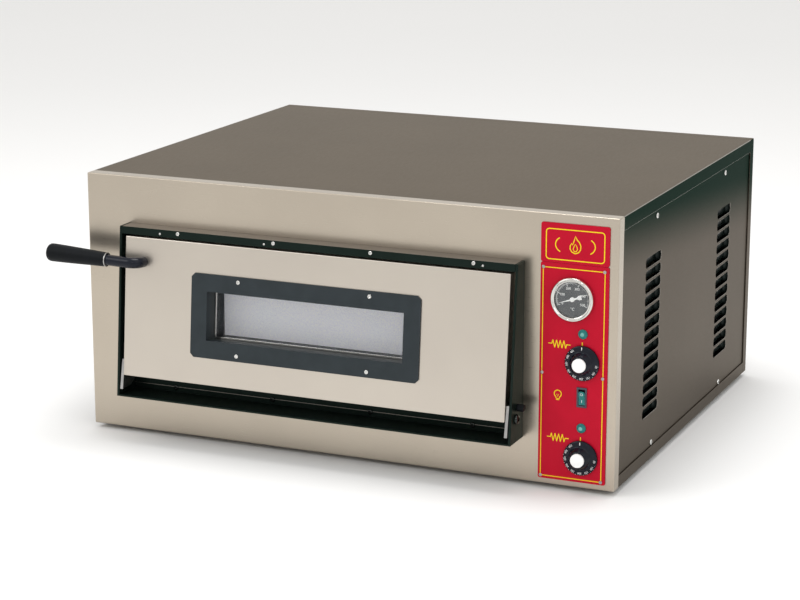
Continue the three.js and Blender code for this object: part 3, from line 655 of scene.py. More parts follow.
tray = copy_of("base_tray")
print("tray folds:", fold(tray, long_corner(0), SHEET_FOLD))
soften(tray, 0.3)
dress(tray, "base_tray_sheet", "casing", "casing_steel", painted_shade_side_steel, stands_for=["base_tray"])

# %% [markdown]
# The back is a tray like the front, made the same way from the far side. Its returned edges show
# at the rear of the side sheets, so those faces take the sides' finish with painted shade and the
# rest keeps the cover's plain one.

# %% Back panel
back = copy_of("back_panel")
print("back folds:", fold(back, tray_fold(DEPTH), SHEET_FOLD))
soften(back, 0.3)
dress(back, "back_sheet", "casing", "casing_steel", cover_steel, painted_shade_side_steel,
      stands_for=["back_panel"])
for face in back.data.polygons:
    face.material_index = 1 if abs(face.normal.x) > FACES_SIDEWAYS else 0

# %% [markdown]
# Each side sheet has two columns of thirteen louvres, which let the wiring space breathe. A
# louvre is cut with round corners and its tongue is pressed inwards. The sheet keeps the frame's
# slots, whose corners are bevelled round, and its rounded edges get a lighter finish, a painted
# highlight. The tongue is modelled once, as a box without its outer and lower faces whose inner
# edges are bevelled, and is then copied behind every slot.

# %% Side sheets
SLOT_ROWS = 13
SLOT_PITCH = 20
SLOT_FIRST = 82.5
SLOT_MIDDLES = (175.5, 565)
SLOT_WIDTH = 78
SLOT_HEIGHT = 15.5
SIDE_OUTER = 448.2
SIDE_INNER = 447


def through_the_sheet(a, b, way):
    away_from_the_ends = 5 < a.y < DEPTH - 5
    return abs(way.x) > ALONG and away_from_the_ends


for side in ("left", "right"):
    sheet = copy_of(side + "_side_panel", flat_faces=False)
    print(side, "slot corners:", fold(sheet, through_the_sheet, 1.6, 3))
    soften(sheet, 0.5, 2, 50, even=True)
    dress(sheet, side + "_side_sheet", "casing", "casing_steel", painted_shade_side_steel, painted_highlight_steel,
          stands_for=[side + "_side_panel"])
    # Index 1 is the painted highlight on the rounded edges.
    for face in sheet.data.polygons:
        face.material_index = 1 if is_edge(face) else 0

# %% One louvre tongue
TONGUE_DEPTH = 8
TONGUE_FOOT = -9
TONGUE_ROUND = 6
TONGUE_WALL = 0.8
TONGUE_TOP = SLOT_HEIGHT / 2 + 0.4
tongue = box((0, -SLOT_WIDTH / 2, TONGUE_FOOT), (TONGUE_DEPTH, SLOT_WIDTH / 2, TONGUE_TOP))
edit(tongue)
pick_faces(tongue, lambda middle, normal: normal.x > ALONG or normal.z < -ALONG)
bpy.ops.mesh.delete(type="FACE")
pick_edges(tongue, lambda a, b, way: a.x < CLOSE and b.x < CLOSE)
bpy.ops.mesh.bevel(offset=TONGUE_ROUND * MM, segments=6, affect="EDGES", clamp_overlap=False)
leave_edit()
print("tongue faces:", len(tongue.data.polygons))

# %% [markdown]
# The tongue is given a wall by a solidify modifier, which needs its faces to point one way first.
# Then it is copied in behind every slot with a little air, and turned half round for the left
# side. One joined piece a side was chosen over twenty-six, because they all have one finish and
# never move.

# %% Tongues behind every slot
edit(tongue)
bpy.ops.mesh.normals_make_consistent(inside=False)
leave_edit()
wall = tongue.modifiers.new("wall", "SOLIDIFY")
wall.thickness = TONGUE_WALL * MM
wall.offset = 1
bpy.ops.object.modifier_apply(modifier=wall.name)
bpy.ops.object.shade_smooth_by_angle(angle=math.radians(50))
tongue.data.transform(Matrix.Translation(-at(0, 0, 0)))

for side, turn in (("left", math.pi), ("right", 0.0)):
    tongues = []
    reach = SIDE_INNER - TONGUE_DEPTH - 0.3
    for middle in SLOT_MIDDLES:
        for row in range(SLOT_ROWS):
            copy = linked("tongue", tongue.data.copy())
            spot = at(reach if side == "right" else -reach, middle, SLOT_FIRST + row * SLOT_PITCH)
            copy.data.transform(Matrix.Translation(spot) @ Matrix.Rotation(turn, 4, "Z"))
            tongues.append(copy)
    # The tongues' near-black finish is painted shade inside the louvres.
    dress(joined(tongues, "tongues"), side + "_louvre_tongues", "casing", "casing_steel",
          louvre_painted_shade)
bpy.data.objects.remove(tongue)

# %% [markdown]
# ## Screws
# All the visible screws are pan heads with a cross recess. One is modelled: a short cylinder
# whose upper rim is bevelled into a dome, with two narrow blocks cut away for the cross. It is
# then copied to each place and turned to face outwards. A modelled cross was chosen over a
# painted one, because its small walls catch the light as the real recess does.

# %% One screw head


def screw_head(radius, height):
    only_nothing()
    bpy.ops.mesh.primitive_cylinder_add(vertices=28, radius=radius * MM, depth=height * MM,
                                        location=(0, 0, height * MM / 2))
    head = settle(bpy.context.object)
    edit(head, "FACE")
    shape = bmesh.from_edit_mesh(head.data)
    bpy.ops.mesh.select_all(action="DESELECT")
    for each in shape.faces:
        each.select_set(each.normal.z > ALONG)
    bmesh.update_edit_mesh(head.data)
    bpy.ops.mesh.bevel(offset=height * 0.75 * MM, segments=4, affect="EDGES", clamp_overlap=False)
    leave_edit()
    for width, length in ((0.34, 1.1), (1.1, 0.34)):
        slot_size = Vector((radius * width, radius * length, height)) * MM
        bpy.ops.mesh.primitive_cube_add(size=1, location=(0, 0, height * MM), scale=slot_size)
        slot_block = settle(bpy.context.object)
        only(head)
        cut = head.modifiers.new("cross", "BOOLEAN")
        cut.object = slot_block
        cut.solver = "EXACT"
        bpy.ops.object.modifier_apply(modifier=cut.name)
        bpy.data.objects.remove(slot_block)
    bpy.ops.object.shade_smooth_by_angle(angle=math.radians(40))
    return head


TOWARDS = {
    "front": Matrix.Rotation(math.pi / 2, 4, "X"),
    "back": Matrix.Rotation(-math.pi / 2, 4, "X"),
    "right": Matrix.Rotation(math.pi / 2, 4, "Y"),
    "left": Matrix.Rotation(-math.pi / 2, 4, "Y"),
}
SLOPE = 0.0893
LEAN = math.atan(SLOPE)
TOWARDS["door"] = Matrix.Rotation(-LEAN, 4, "X") @ TOWARDS["front"]


def screws(name, body, slot, finish_used, radius, height, facing, places):
    head = screw_head(radius, height)
    heads = []
    for number, place in enumerate(places):
        copy = linked("head", head.data.copy())
        twist = Matrix.Rotation(math.radians(17 + 31 * number), 4, "Z")
        copy.data.transform(Matrix.Translation(at(*place)) @ TOWARDS[facing] @ twist)
        heads.append(copy)
    bpy.data.objects.remove(head)
    return dress(joined(heads, name), name, body, slot, finish_used)


SCREW_GAP = 0.02
SIDE_SCREWS = [(187, 389), (563, 389), (184, 26), (561, 25)]
for side, sign in (("left", -1), ("right", 1)):
    screws(side + "_side_screws", "casing", "chrome", screw_steel, 4.5, 1.7, side,
           [(sign * (SIDE_OUTER + SCREW_GAP), y, z) for y, z in SIDE_SCREWS])
PLATE_FACE = -1.8
screws("plate_screws", "casing", "chrome", bare_steel, 2.7, 1.2, "front",
       [(x, PLATE_FACE - SCREW_GAP, z) for x in (333, 429) for z in (338.5, 175.5, 13.5)])
screws("back_screws", "casing", "chrome", screw_steel, 4.5, 1.7, "back",
       [(x, DEPTH + SCREW_GAP, z) for x in (-425, -150, 150, 425) for z in (18, 402)])

# %% [markdown]
# ## The door's surround
# A black painted frame of four plates leans out round the door and keeps its heat off the cook's
# arms. The plates come from the frame with their edges eased by half a millimetre, since paint
# never covers a sharp corner. The hood's faces that look upwards get a second, lighter finish,
# which is painted light on its top. A thin fold runs along the sill's flange at the height of its
# screws, and its light finish is a painted highlight.

# %% Surround plates
for part in ("surround_hood", "surround_sill", "surround_left_cheek", "surround_right_cheek"):
    plate = soften(copy_of(part), 0.5, 3)
    dress(plate, part + "_plate", "casing", "surround_black", surround_black, hood_top_painted_light,
          stands_for=[part])
    # Index 1 is the painted light on the hood's upward faces.
    for face in plate.data.polygons:
        face.material_index = 1 if part == "surround_hood" and face.normal.z > ALONG else 0


def front_plane(z):
    """The y of the leaning plane of the surround and the door at a height."""
    return -42 + SLOPE * (z - 200)


screws("hood_screws", "casing", "chrome", screw_steel, 3.2, 1.6, "door",
       [(x, front_plane(340) - SCREW_GAP, 340) for x in (-270, -102, 63, 232)])
screws("hood_rivets", "casing", "chrome", screw_steel, 1.8, 0.9, "door",
       [(x, front_plane(337.5) - SCREW_GAP, 337.5) for x in (-302, -118, 247)])
SILL_FACE = -2.82
screws("sill_screws", "casing", "surround_black", dark_screw, 4.2, 2.0, "front",
       [(x, SILL_FACE, 79) for x in (-294, -120, 50, 222)])
SILL_HALF = 334
# The fold's light steel finish is a painted highlight along the black sill.
sill_fold = soften(box((DECK_MIDDLE - SILL_HALF, SILL_FACE - 0.48, 79.4),
                       (DECK_MIDDLE + SILL_HALF, SILL_FACE, 80.4)), 0.2, 2)
dress(sill_fold, "sill_fold", "casing", "surround_black", painted_highlight_steel)

# %% [markdown]
# ## The door
# The door is a folded skin over mineral wool, with a painted bezel round its window. The skin's
# outer edges have the fold's radius. The bezel is softened more than the sheet, because its
# chamfered frame is cast or thick plate. Inside the passage a thin aluminium trim holds the outer
# pane.

# %% Door skins
skin = copy_of("door_outer_skin")
DOOR_LEFT, DOOR_RIGHT = DECK_MIDDLE - 328, DECK_MIDDLE + 328
DOOR_LOW, DOOR_HIGH = 104, 329.5


def on_door_fold(a, b, way):
    at_side = [p.x < DOOR_LEFT + CLOSE or p.x > DOOR_RIGHT - CLOSE for p in (a, b)]
    at_end = [p.z < DOOR_LOW + CLOSE or p.z > DOOR_HIGH - CLOSE for p in (a, b)]
    on_face = all(p.y < front_plane(p.z) + CLOSE for p in (a, b))
    outline = on_face and all(side or end for side, end in zip(at_side, at_end))
    corner = abs(way.y) > ALONG and all(at_side) and all(at_end)
    return outline or corner


print("door folds:", fold(skin, on_door_fold, 1.8))
soften(skin, 0.25)
dress(skin, "door_skin", "door", "door_stainless", door_stainless, stands_for=["door_outer_skin"])

lining = soften(copy_of("door_inner_skin"), 0.35)
dress(lining, "door_lining", "door", "chamber_steel", chamber_steel,
      stands_for=["door_inner_skin"])

bezel = soften(copy_of("window_bezel"), 0.55, 3)
dress(bezel, "window_frame", "door", "bezel_grey", bezel_grey, stands_for=["window_bezel"])

for side in ("left", "right"):
    lug = soften(copy_of("hinge_lug_" + side), 0.6, 3)
    dress(lug, side + "_hinge_lug", "door", "bare_steel", bare_steel,
          stands_for=["hinge_lug_" + side])

# %% [markdown]
# Things on the door's face are drawn as if the face were upright, with y = 0 on the face, and one
# matrix then leans them back. The same matrix serves the handle, the window trim and the bezel's
# screws.

# %% The leaning face
DOOR_FOOT = Vector((0, front_plane(DOOR_LOW), DOOR_LOW))
LEAN_BACK = (Matrix.Translation(at(*DOOR_FOOT)) @ Matrix.Rotation(-LEAN, 4, "X")
             @ Matrix.Translation(-at(0, 0, 0)))


def up_the_face(z):
    """How far up the leaning face a height lies, from the door's lower edge."""
    return (z - DOOR_LOW) / math.cos(LEAN)


def lean(piece):
    piece.data.transform(LEAN_BACK)
    return piece


WINDOW_MIDDLE, WINDOW_LEVEL = -46, 215
WINDOW_WIDTH, WINDOW_HEIGHT = 337, 78
WINDOW_X = (WINDOW_MIDDLE - WINDOW_WIDTH / 2, WINDOW_MIDDLE + WINDOW_WIDTH / 2)
WINDOW_Z = (up_the_face(WINDOW_LEVEL) - WINDOW_HEIGHT / 2,
            up_the_face(WINDOW_LEVEL) + WINDOW_HEIGHT / 2)
print("window, up the face:", [round(z, 1) for z in WINDOW_Z])

# %% [markdown]
# The trim is a narrow bright frame. It starts as a block as large as the window, less a little
# play. Its front and back faces are inset and then bridged, which opens the middle. That was
# chosen over four bars, because a frame in one piece has true corners.

# %% Trim round the outer pane
PLAY = 0.3
TRIM_BAR = 3.2
trim = box((WINDOW_X[0] + PLAY, 23.5, WINDOW_Z[0] + PLAY),
           (WINDOW_X[1] - PLAY, 26.6, WINDOW_Z[1] - PLAY))
edit(trim)
pick_faces(trim, lambda middle, normal: abs(normal.y) > ALONG)
bpy.ops.mesh.inset(thickness=TRIM_BAR * MM, depth=0)
bpy.ops.mesh.bridge_edge_loops()
leave_edit()
soften(trim, 0.4, 3)
dress(lean(trim), "outer_pane_trim", "door", "bare_steel", chrome)

bezel_screws = [(-160, 274), (65, 274), (-160, 157), (64, 157)]
screws("bezel_screws", "door", "chrome", screw_steel, 3.4, 1.6, "door",
       [(x, front_plane(z) - 2.33, z - 0.2) for x, z in bezel_screws])

# %% [markdown]
# Both panes are the frame's own sheets of glass with their edges ground round. The inner one has
# two finishes, bloom towards the cook and brown towards the fire.

# %% Panes
for node, glasses in (("outer_glass", [pane_glass]), ("inner_glass", [hazed_glass, fired_glass])):
    pane = soften(copy_of(node), 0.4, 2)
    dress(pane, node + "_pane", "door", "glass", *glasses, stands_for=[node])
    for face in pane.data.polygons:
        face.material_index = 1 if len(glasses) > 1 and face.normal.y > 0.5 else 0

# %% [markdown]
# The handle is a black steel rod that leaves the door square to its face, turns a tight elbow and
# runs out past the oven's left side into a tapered grip. The rod starts as a circle that is
# extruded up to the elbow, spun round it and extruded again. The elbow's centre lies one bend
# radius from the rod, which keeps the tube's thickness through the turn.

# %% Handle rod
ROD_X, ROD_Z, ROD_RADIUS, ROD_REACH, ROD_BEND = -331, up_the_face(290.5), 8.7, 23, 13
RISE = 0.028
FERRULE_X = -385
ROD_INTO_GRIP, ROD_CLIMB = 25, 1.8
only_nothing()
bpy.ops.mesh.primitive_circle_add(vertices=40, radius=ROD_RADIUS * MM, fill_type="NGON",
                                  location=at(ROD_X, -0.3, ROD_Z), rotation=(math.pi / 2, 0, 0))
rod = settle(bpy.context.object)
edit(rod)
out_of_the_door = Vector((0, -(ROD_REACH - ROD_BEND), 0)) * MM
bpy.ops.mesh.extrude_region_move(TRANSFORM_OT_translate={"value": out_of_the_door})
elbow = at(ROD_X - ROD_BEND, -ROD_REACH + ROD_BEND, ROD_Z)
bpy.ops.mesh.spin(steps=14, angle=math.pi / 2, center=elbow, axis=(0, 0, 1), dupli=False)
to_the_grip = Vector((FERRULE_X - ROD_INTO_GRIP - ROD_X + ROD_BEND, 0, ROD_CLIMB)) * MM
bpy.ops.mesh.extrude_region_move(TRANSFORM_OT_translate={"value": to_the_grip})
bpy.ops.mesh.select_all(action="SELECT")
bpy.ops.mesh.remove_doubles(threshold=0.00001)
bpy.ops.mesh.normals_make_consistent(inside=False)
leave_edit()
only(rod)
bpy.ops.object.shade_smooth_by_angle(angle=math.radians(40))
rod_spots = [in_mm(v.co) for v in rod.data.vertices]
print("rod x from", round(min(p.x for p in rod_spots), 1),
      "y from", round(min(p.y for p in rod_spots), 1))
dress(lean(rod), "handle_bar", "door", "surround_black", knob_black, stands_for=["handle_rod"])

# %% [markdown]
# The grip is a tapered plastic moulding with a bright ring at its inner end. Both are spun
# profiles along the rod, which climbs slightly outwards, so they are turned by that small rise
# before they lean with the door.

# %% Grip and ferrule
grip_profile = [(0, -106.5), (6.5, -106.4), (9.8, -105.9), (11.9, -104.9), (13.3, -103.4),
                (14.1, -101.6), (14.4, -99.5), (14.45, -97), (14.4, -90), (13.9, -70),
                (13.1, -45), (12.2, -22), (11.6, -6), (11.2, -1), (10.6, -0.2), (9.2, 0),
                (9.2, -39.5), (0, -39.5)]
GRIP_PLACE = at(FERRULE_X, -ROD_REACH, ROD_Z + RISE * (ROD_X - FERRULE_X))


def onto_the_rod(piece):
    """Takes a piece turned round the X axis at the zero point and puts it on the rising rod."""
    rise = Matrix.Rotation(math.atan(RISE), 4, "Y")
    piece.data.transform(Matrix.Translation(GRIP_PLACE) @ rise @ Matrix.Translation(-at(0, 0, 0)))
    return lean(piece)


grip = turned(grip_profile, (0, 0, 0), "X", 56)
dress(onto_the_rod(grip), "handle_grip_moulding", "door", "black_plastic", black_plastic,
      stands_for=["handle_grip"])
ferrule_profile = [(8.9, 0.1), (11.2, 0.1), (11.5, 0.4), (11.5, 1.4), (11.1, 1.8), (8.9, 1.8),
                   (8.9, 0.1)]
ferrule = turned(ferrule_profile, (0, 0, 0), "X", 56)
dress(onto_the_rod(ferrule), "handle_ferrule", "door", "chrome", bare_steel)

# %% [markdown]
# ## Hinges
# The door turns on two bolts that stay in the cheeks, and its right lug comes to rest on a pin
# with a black knob outside. Bolts and pin are turned parts, so each is a profile spun round the
# hinge line, with a hexagonal socket sunk in the bolt's head.

# %% Pivot bolts
HINGE_Y, HINGE_Z = -32, 106
LUG_NEAR, LUG_FAR = 328.3, 333.3
CHEEK_NEAR, CHEEK_FAR = 334.7, 339.3
bolt_profile = [(0, LUG_NEAR), (4, LUG_NEAR), (4, LUG_FAR + 0.3), (6, LUG_FAR + 0.3),
                (6, CHEEK_NEAR), (4, CHEEK_NEAR), (4, CHEEK_FAR), (7.5, CHEEK_FAR),
                (7.5, CHEEK_FAR + 2.4), (7.1, CHEEK_FAR + 3.4), (5.9, CHEEK_FAR + 4.3),
                (4.1, CHEEK_FAR + 4.9), (3.6, CHEEK_FAR + 4.9), (3.4, CHEEK_FAR + 2.6),
                (0, CHEEK_FAR + 2.6)]
for side, sign in (("left", -1), ("right", 1)):
    outline = [(r, DECK_MIDDLE + sign * along) for r, along in bolt_profile]
    bolt = turned(outline, (0, HINGE_Y, HINGE_Z), "X", 48)
    dress(bolt, side + "_pivot_bolt", "casing", "bare_steel", dark_screw,
          stands_for=["pivot_bolt_" + side])

# %% Stop pin
pin_profile = [(0, 329), (4, 329), (4, CHEEK_FAR), (5.2, CHEEK_FAR), (5.7, CHEEK_FAR + 0.6),
               (5.7, CHEEK_FAR + 10.2), (5.2, CHEEK_FAR + 11.3), (4.2, CHEEK_FAR + 11.6),
               (0, CHEEK_FAR + 11.6)]
STOP_Y, STOP_Z = -26, 123
pin = turned([(r, DECK_MIDDLE + along) for r, along in pin_profile], (0, STOP_Y, STOP_Z), "X", 40)
dress(pin, "stop_knob", "casing", "black_plastic", black_plastic, stands_for=["door_stop_pin"])

# %% [markdown]
# ## The control column
# A red enamelled plate carries the thermometer, two thermostat knobs, two pilot lamps and the
# lamp switch, and a smaller red badge stands above it. The plates are copied from the frame and
# their upright corners are bevelled round before their edges are eased.

# %% Red plates
PLATE_SIDES = (328.4, 436)
PLATE_ENDS = (9, 346)


def plate_corner(a, b, way):
    at_side = min(abs(a.x - side) for side in PLATE_SIDES) < CLOSE
    at_end = min(abs(a.z - end) for end in PLATE_ENDS) < CLOSE
    return abs(way.y) > ALONG and at_side and at_end


control = copy_of("control_plate")
print("plate corners:", fold(control, plate_corner, 3, 5))
soften(control, 0.3)
dress(control, "control_face", "casing", "red_enamel", red_enamel, stands_for=["control_plate"])

badge = copy_of("name_badge")
print("badge corners:", fold(badge, lambda a, b, way: abs(way.y) > ALONG, 1.2, 3))
soften(badge, 0.3)
dress(badge, "badge_face", "casing", "red_enamel", red_enamel, stands_for=["name_badge"])

# %% [markdown]
# The printing is thin enough to be paint, but it is real geometry: flat curves with a round
# section are turned into meshes and squeezed to less than a tenth of a millimetre. That keeps
# every line crisp at any distance, with no picture needed.

# %% Yellow lines and symbols
PRINT = PLATE_FACE - 0.04
BADGE_X, BADGE_Z = 382.3, 374.3


def heater_sign(x, z):
    """A heating element's sign: a lead, four peaks and a lead."""
    zigzag = [(-17, 0), (-12, 0)]
    for peak in range(4):
        zigzag += [(-10.4 + 5.8 * peak, 5.6), (-7.5 + 5.8 * peak, -5.6)]
    zigzag += [(11.6, 0), (17, 0)]
    return put(strokes(zigzag, 1.5), x, PRINT, z)


def bulb_sign(x, z):
    """A light bulb's sign: a round glass and a stepped cap."""
    glass_line = [(5.6 * math.sin(math.radians(t)), 2 + 5.6 * math.cos(math.radians(t)))
                  for t in range(-145, 146, 10)]
    parts = [flat_line(glass_line + [(2.4, -5.4), (-2.4, -5.4)], 1.5, closed=True),
             flat_line([(-2.6, -7.2), (2.6, -7.2)], 1.3),
             flat_line([(-1.5, 1.5), (0, -2.5), (1.5, 1.5)], 0.9)]
    return joined([put(part, x, PRINT, z) for part in parts], "bulb")


prints = [
    put(flat_line(rectangle(-48.4, 48.4, -162.4, 162.4), 2.0, closed=True), 381, PRINT, 176),
    put(flat_line(rectangle(-45.6, 45.6, -23, 23, 5), 1.7, closed=True), BADGE_X, PRINT, BADGE_Z),
    heater_sign(360, 222),
    heater_sign(360, 76),
    bulb_sign(358.7, 142.6),
    put(flat_line([(0, 0), (0, 5.6)], 1.6), 396, PRINT, 222.6),
    put(flat_line([(0, 0), (0, 5.6)], 1.6), 396, PRINT, 75),
]
dress(joined(prints, "prints"), "yellow_printing", "casing", "yellow_print", yellow_print)

# %% [markdown]
# The badge would carry a maker's sign. Here it gets a plain flame between two arcs, which stands
# for any oven and for no maker.

# %% Flame on the badge
flame = [(0, 15), (2.4, 10.5), (6.4, 6.2), (8.6, 1), (8.2, -4.6), (5.2, -9), (0, -11),
         (-5.2, -9), (-8.2, -4.6), (-8, 0.4), (-5.6, 4.4), (-4.2, 1.6), (-2.6, 6.5)]
heart = [(0, 3.4), (2.6, -0.8), (3.4, -4.2), (1.8, -7.4), (0, -8), (-1.8, -7.4), (-3.4, -4.2),
         (-2.2, -0.6)]
arcs = [[(side * (17 + 14 * math.cos(math.radians(t))), 12 * math.sin(math.radians(t)))
         for t in range(-62, 63, 6)] for side in (1, -1)]
signs = [put(flat_line(line, width, closed=True), BADGE_X, PRINT, BADGE_Z - 1)
         for line, width in ((flame, 1.7), (heart, 1.3))]
signs += [put(flat_line(arc, 1.7), BADGE_X, PRINT, BADGE_Z) for arc in arcs]
dress(joined(signs, "signs"), "badge_flame", "casing", "yellow_print", yellow_print)

# %% [markdown]
# ## Thermometer
# The thermometer is a pressed cup with a polished rim, a grey dial, a white needle and a flat
# glass. The rim is spun from a rounded profile with many steps, because a mirror finish shows
# every facet.

# %% Case and dial
GAUGE_X, GAUGE_Z = 380, 293
rim_profile = [(0, -2.9), (27.2, -2.9), (27.2, -7.6), (27.5, -8.2), (28.2, -8.6), (29.0, -8.3),
               (29.5, -8.2), (30.0, -8.7), (30.6, -9.4), (31.4, -9.6), (32.2, -9.4),
               (33.0, -8.6), (33.7, -7.2), (34.1, -5.6), (34.2, -4.4), (34.2, -2.2), (29, -2.2),
               (29, 36), (0, 36)]
rim = turned(rim_profile, (GAUGE_X, 0, GAUGE_Z), "Y", 96)
dress(rim, "gauge_rim", "casing", "chrome", chrome, stands_for=["gauge_case"])
dial = turned([(0, -3.2), (27, -3.2), (27, -2.95), (0, -2.95)], (GAUGE_X, 0, GAUGE_Z), "Y", 96)
dress(dial, "gauge_dial", "casing", "black_plastic", dial_grey)
pane = turned([(0, -8), (26.6, -8), (26.9, -7.7), (26.9, -6.8), (26.6, -6.5), (0, -6.5)],
              (GAUGE_X, 0, GAUGE_Z), "Y", 96)
dress(pane, "gauge_pane", "casing", "glass", pane_glass, stands_for=["gauge_glass"])

# %% Ticks and numbers


def round_the_dial(turn, radius):
    """The (x, z) of a place at a clockwise turn from the top."""
    return radius * math.sin(math.radians(turn)), radius * math.cos(math.radians(turn))


DIAL_PRINT = -3.24
DIAL_END = 115
marks = []
for step in range(51):
    turn = -DIAL_END + 2 * DIAL_END * step / 50
    long_mark = step % 10 == 0
    inner = 21.0 if long_mark else 22.6 if step % 5 == 0 else 23.6
    ends = [round_the_dial(turn, inner), round_the_dial(turn, 25.2)]
    tick = flat_line(ends, 0.75 if long_mark else 0.4, proud=0.05)
    marks.append(put(tick, GAUGE_X, DIAL_PRINT, GAUGE_Z))
ring = [round_the_dial(t, 25.4) for t in range(-DIAL_END, DIAL_END + 1, 5)]
marks.append(put(flat_line(ring, 0.4, proud=0.05), GAUGE_X, DIAL_PRINT, GAUGE_Z))
for number in range(6):
    x, z = round_the_dial(-DIAL_END + 2 * DIAL_END * number / 5, 17.4)
    marks.append(put(flat_text(str(100 * number), 3.9), GAUGE_X + x, DIAL_PRINT, GAUGE_Z + z))
marks.append(put(flat_text("°C", 4.4), GAUGE_X, DIAL_PRINT, GAUGE_Z - 15))
dress(joined(marks, "marks"), "gauge_markings", "casing", "white_print", gauge_white_painted_light)

# %% Needle
needle = soften(copy_of("gauge_needle"), 0.12, 2)
dress(needle, "gauge_pointer", "needle_body", "white_print", gauge_white_painted_light,
      stands_for=["gauge_needle"])

# %% [markdown]
# ## Knobs, lamps and switch
# A knob is a skirt with printed figures, a conical hub and a cap whose white is a painted
# reflection of its chrome. Skirt and hub are one spun profile, and the cap is spun apart, because
# it is a different material. The figures follow the skirt's lower part, each turned to face the
# hub.

# %% Knob
KNOB_X = 397
KNOB_LEVELS = {"upper": 196.5, "lower": 48.5}
FIRST_FIGURE, FIGURE_SWEEP = 95, 225
knob_profile = [(0, -17.2), (12.2, -17.2), (13.0, -16.8), (13.6, -16.0), (17.0, -9.6),
                (17.4, -8.9), (18.2, -8.2), (19.4, -7.7), (24.8, -6.9), (26.0, -6.5),
                (26.8, -5.8), (27, -5), (27, -2.9), (26.6, -2.45), (3.4, -2.45), (3.4, -14),
                (0, -14)]
cap_profile = [(0, -21.5), (9.0, -21.5), (9.9, -21.2), (10.5, -20.6), (10.7, -19.8),
               (10.7, -17.25), (0, -17.25)]


def knob(name, z):
    body = name + "_knob_body"
    dress(turned(knob_profile, (KNOB_X, 0, z), "Y", 96), name + "_knob_moulding", body,
          "black_plastic", knob_black, stands_for=[name + "_knob"])
    dress(turned(cap_profile, (KNOB_X, 0, z), "Y", 80), name + "_knob_cap", body, "chrome",
          cap_white_painted_reflection)
    figures = []
    skirt = -7.45
    for step in range(9):
        turn = FIRST_FIGURE + step * FIGURE_SWEEP / 8
        x, z_up = round_the_dial(turn, 23.1)
        figure = flat_text(str(50 + 50 * step), 3.1, turn)
        figures.append(put(figure, KNOB_X + x, skirt, z + z_up))
    for step in range(17):
        turn = FIRST_FIGURE + step * FIGURE_SWEEP / 16
        near, far = round_the_dial(turn, 25.6), round_the_dial(turn, 26.2)
        figures.append(put(flat_line([near, far], 0.55, proud=0.1), KNOB_X, -6.75, z))
    figures.append(put(flat_line([(0, 20.6), (0, 25.4)], 1.3, proud=0.4), KNOB_X, -7.3, z))
    dress(joined(figures, "figures"), name + "_knob_figures", body, "white_print", white_print)


for name, level in KNOB_LEVELS.items():
    knob(name, level)

# %% [markdown]
# A pilot lamp is a small ribbed lens of green plastic, spun in one profile with its ribs, with a
# paler disc at its middle where the light comes through. Ribs in the shape were chosen over a
# bump, because the lens is seen close.

# %% Pilot lamps
LAMP_LEVELS = {"upper": 241, "lower": 95}
lamp_profile = [(0, -6.4), (1.6, -6.35), (2.0, -6.0), (2.6, -6.2), (3.2, -5.8), (4.0, -5.9),
                (4.6, -5.4), (5.4, -5.3), (6.0, -4.7), (6.6, -4.4), (7.1, -3.8), (7.5, -3),
                (7.5, -2.1), (6, -2.1), (6, 18), (0, 18)]
for name, z in LAMP_LEVELS.items():
    lens = turned(lamp_profile, (KNOB_X, 0, z), "Y", 64)
    dress(lens, name + "_lamp_lens", "casing", "teal_lens", teal_lens,
          stands_for=[name + "_pilot_lamp"])
    glow = turned([(0, -7.0), (1.6, -6.9), (2.8, -6.5), (3.1, -6.1), (2.9, -5.7), (0, -5.7)],
                  (KNOB_X, 0, z), "Y", 40)
    dress(glow, name + "_lamp_glow", "casing", "teal_lens", pale_teal)

# %% [markdown]
# The switch is a rocker in a grey frame. The rocker comes from the frame already tipped, its two
# ends are bevelled round, and its marks are tipped with it so that they lie on its two faces.

# %% Lamp switch
SWITCH_Z = 143
ROCKER_ENDS = (134, 150)
housing = soften(copy_of("switch_housing"), 0.4, 3)
dress(housing, "switch_frame", "casing", "black_plastic", switch_grey,
      stands_for=["switch_housing"])
rocker = copy_of("switch_rocker")
rocker_low, rocker_high = (in_mm(v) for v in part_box("switch_rocker"))


def at_rocker_end(a, b, way):
    return abs(way.y) > 0.6 and not ROCKER_ENDS[0] <= a.z <= ROCKER_ENDS[1]


print("rocker ends:", fold(rocker, at_rocker_end, 3.4, 5))
soften(rocker, 0.3, 3, 20)
dress(rocker, "switch_key", "rocker_body", "teal_lens", teal_lens, stands_for=["switch_rocker"])
print("rocker from", [round(v, 1) for v in rocker_low], "to", [round(v, 1) for v in rocker_high])
PRESSED = math.radians(7)
rocker_marks = [flat_text("O", 4.4), flat_text("I", 4.6)]
for mark, height, slope in zip(rocker_marks, (5.6, -5.6), (0.118, -0.118)):
    mark.data.transform(Matrix.Translation((0, -6.85, height)) @ Matrix.Rotation(slope, 4, "X"))
marks_piece = joined(rocker_marks, "rocker_marks")
marks_piece.data.transform(Matrix.Rotation(PRESSED, 4, "X"))
dress(put(marks_piece, KNOB_X, 3.5, SWITCH_Z), "switch_marks", "rocker_body", "white_print",
      white_print)

# %% [markdown]
# ## Feet, gland and chamber
# Four rubber feet carry the oven, and a gland at the back takes the supply. The chamber shows
# when the door is down: two stone slabs on rails, heating rods over and under them and a lamp in
# the wall. The rods come from the frame with eight sides, and one subdivision makes them round.

# %% Feet
foot_profile = [(0, -8), (14.6, -8), (15.6, -7.7), (16.2, -7), (19.2, -2.4), (20, -1.4),
                (20, -0.8), (19.6, -0.35), (0, -0.35)]
for end, y in (("front", 75), ("rear", 660)):
    for side, x in (("left", -370), ("right", 370)):
        foot = turned(foot_profile, (x, y, 0), "Z", 48)
        dress(foot, end + "_" + side + "_foot", "casing", "rubber", rubber,
              stands_for=["foot_" + end + "_" + side])

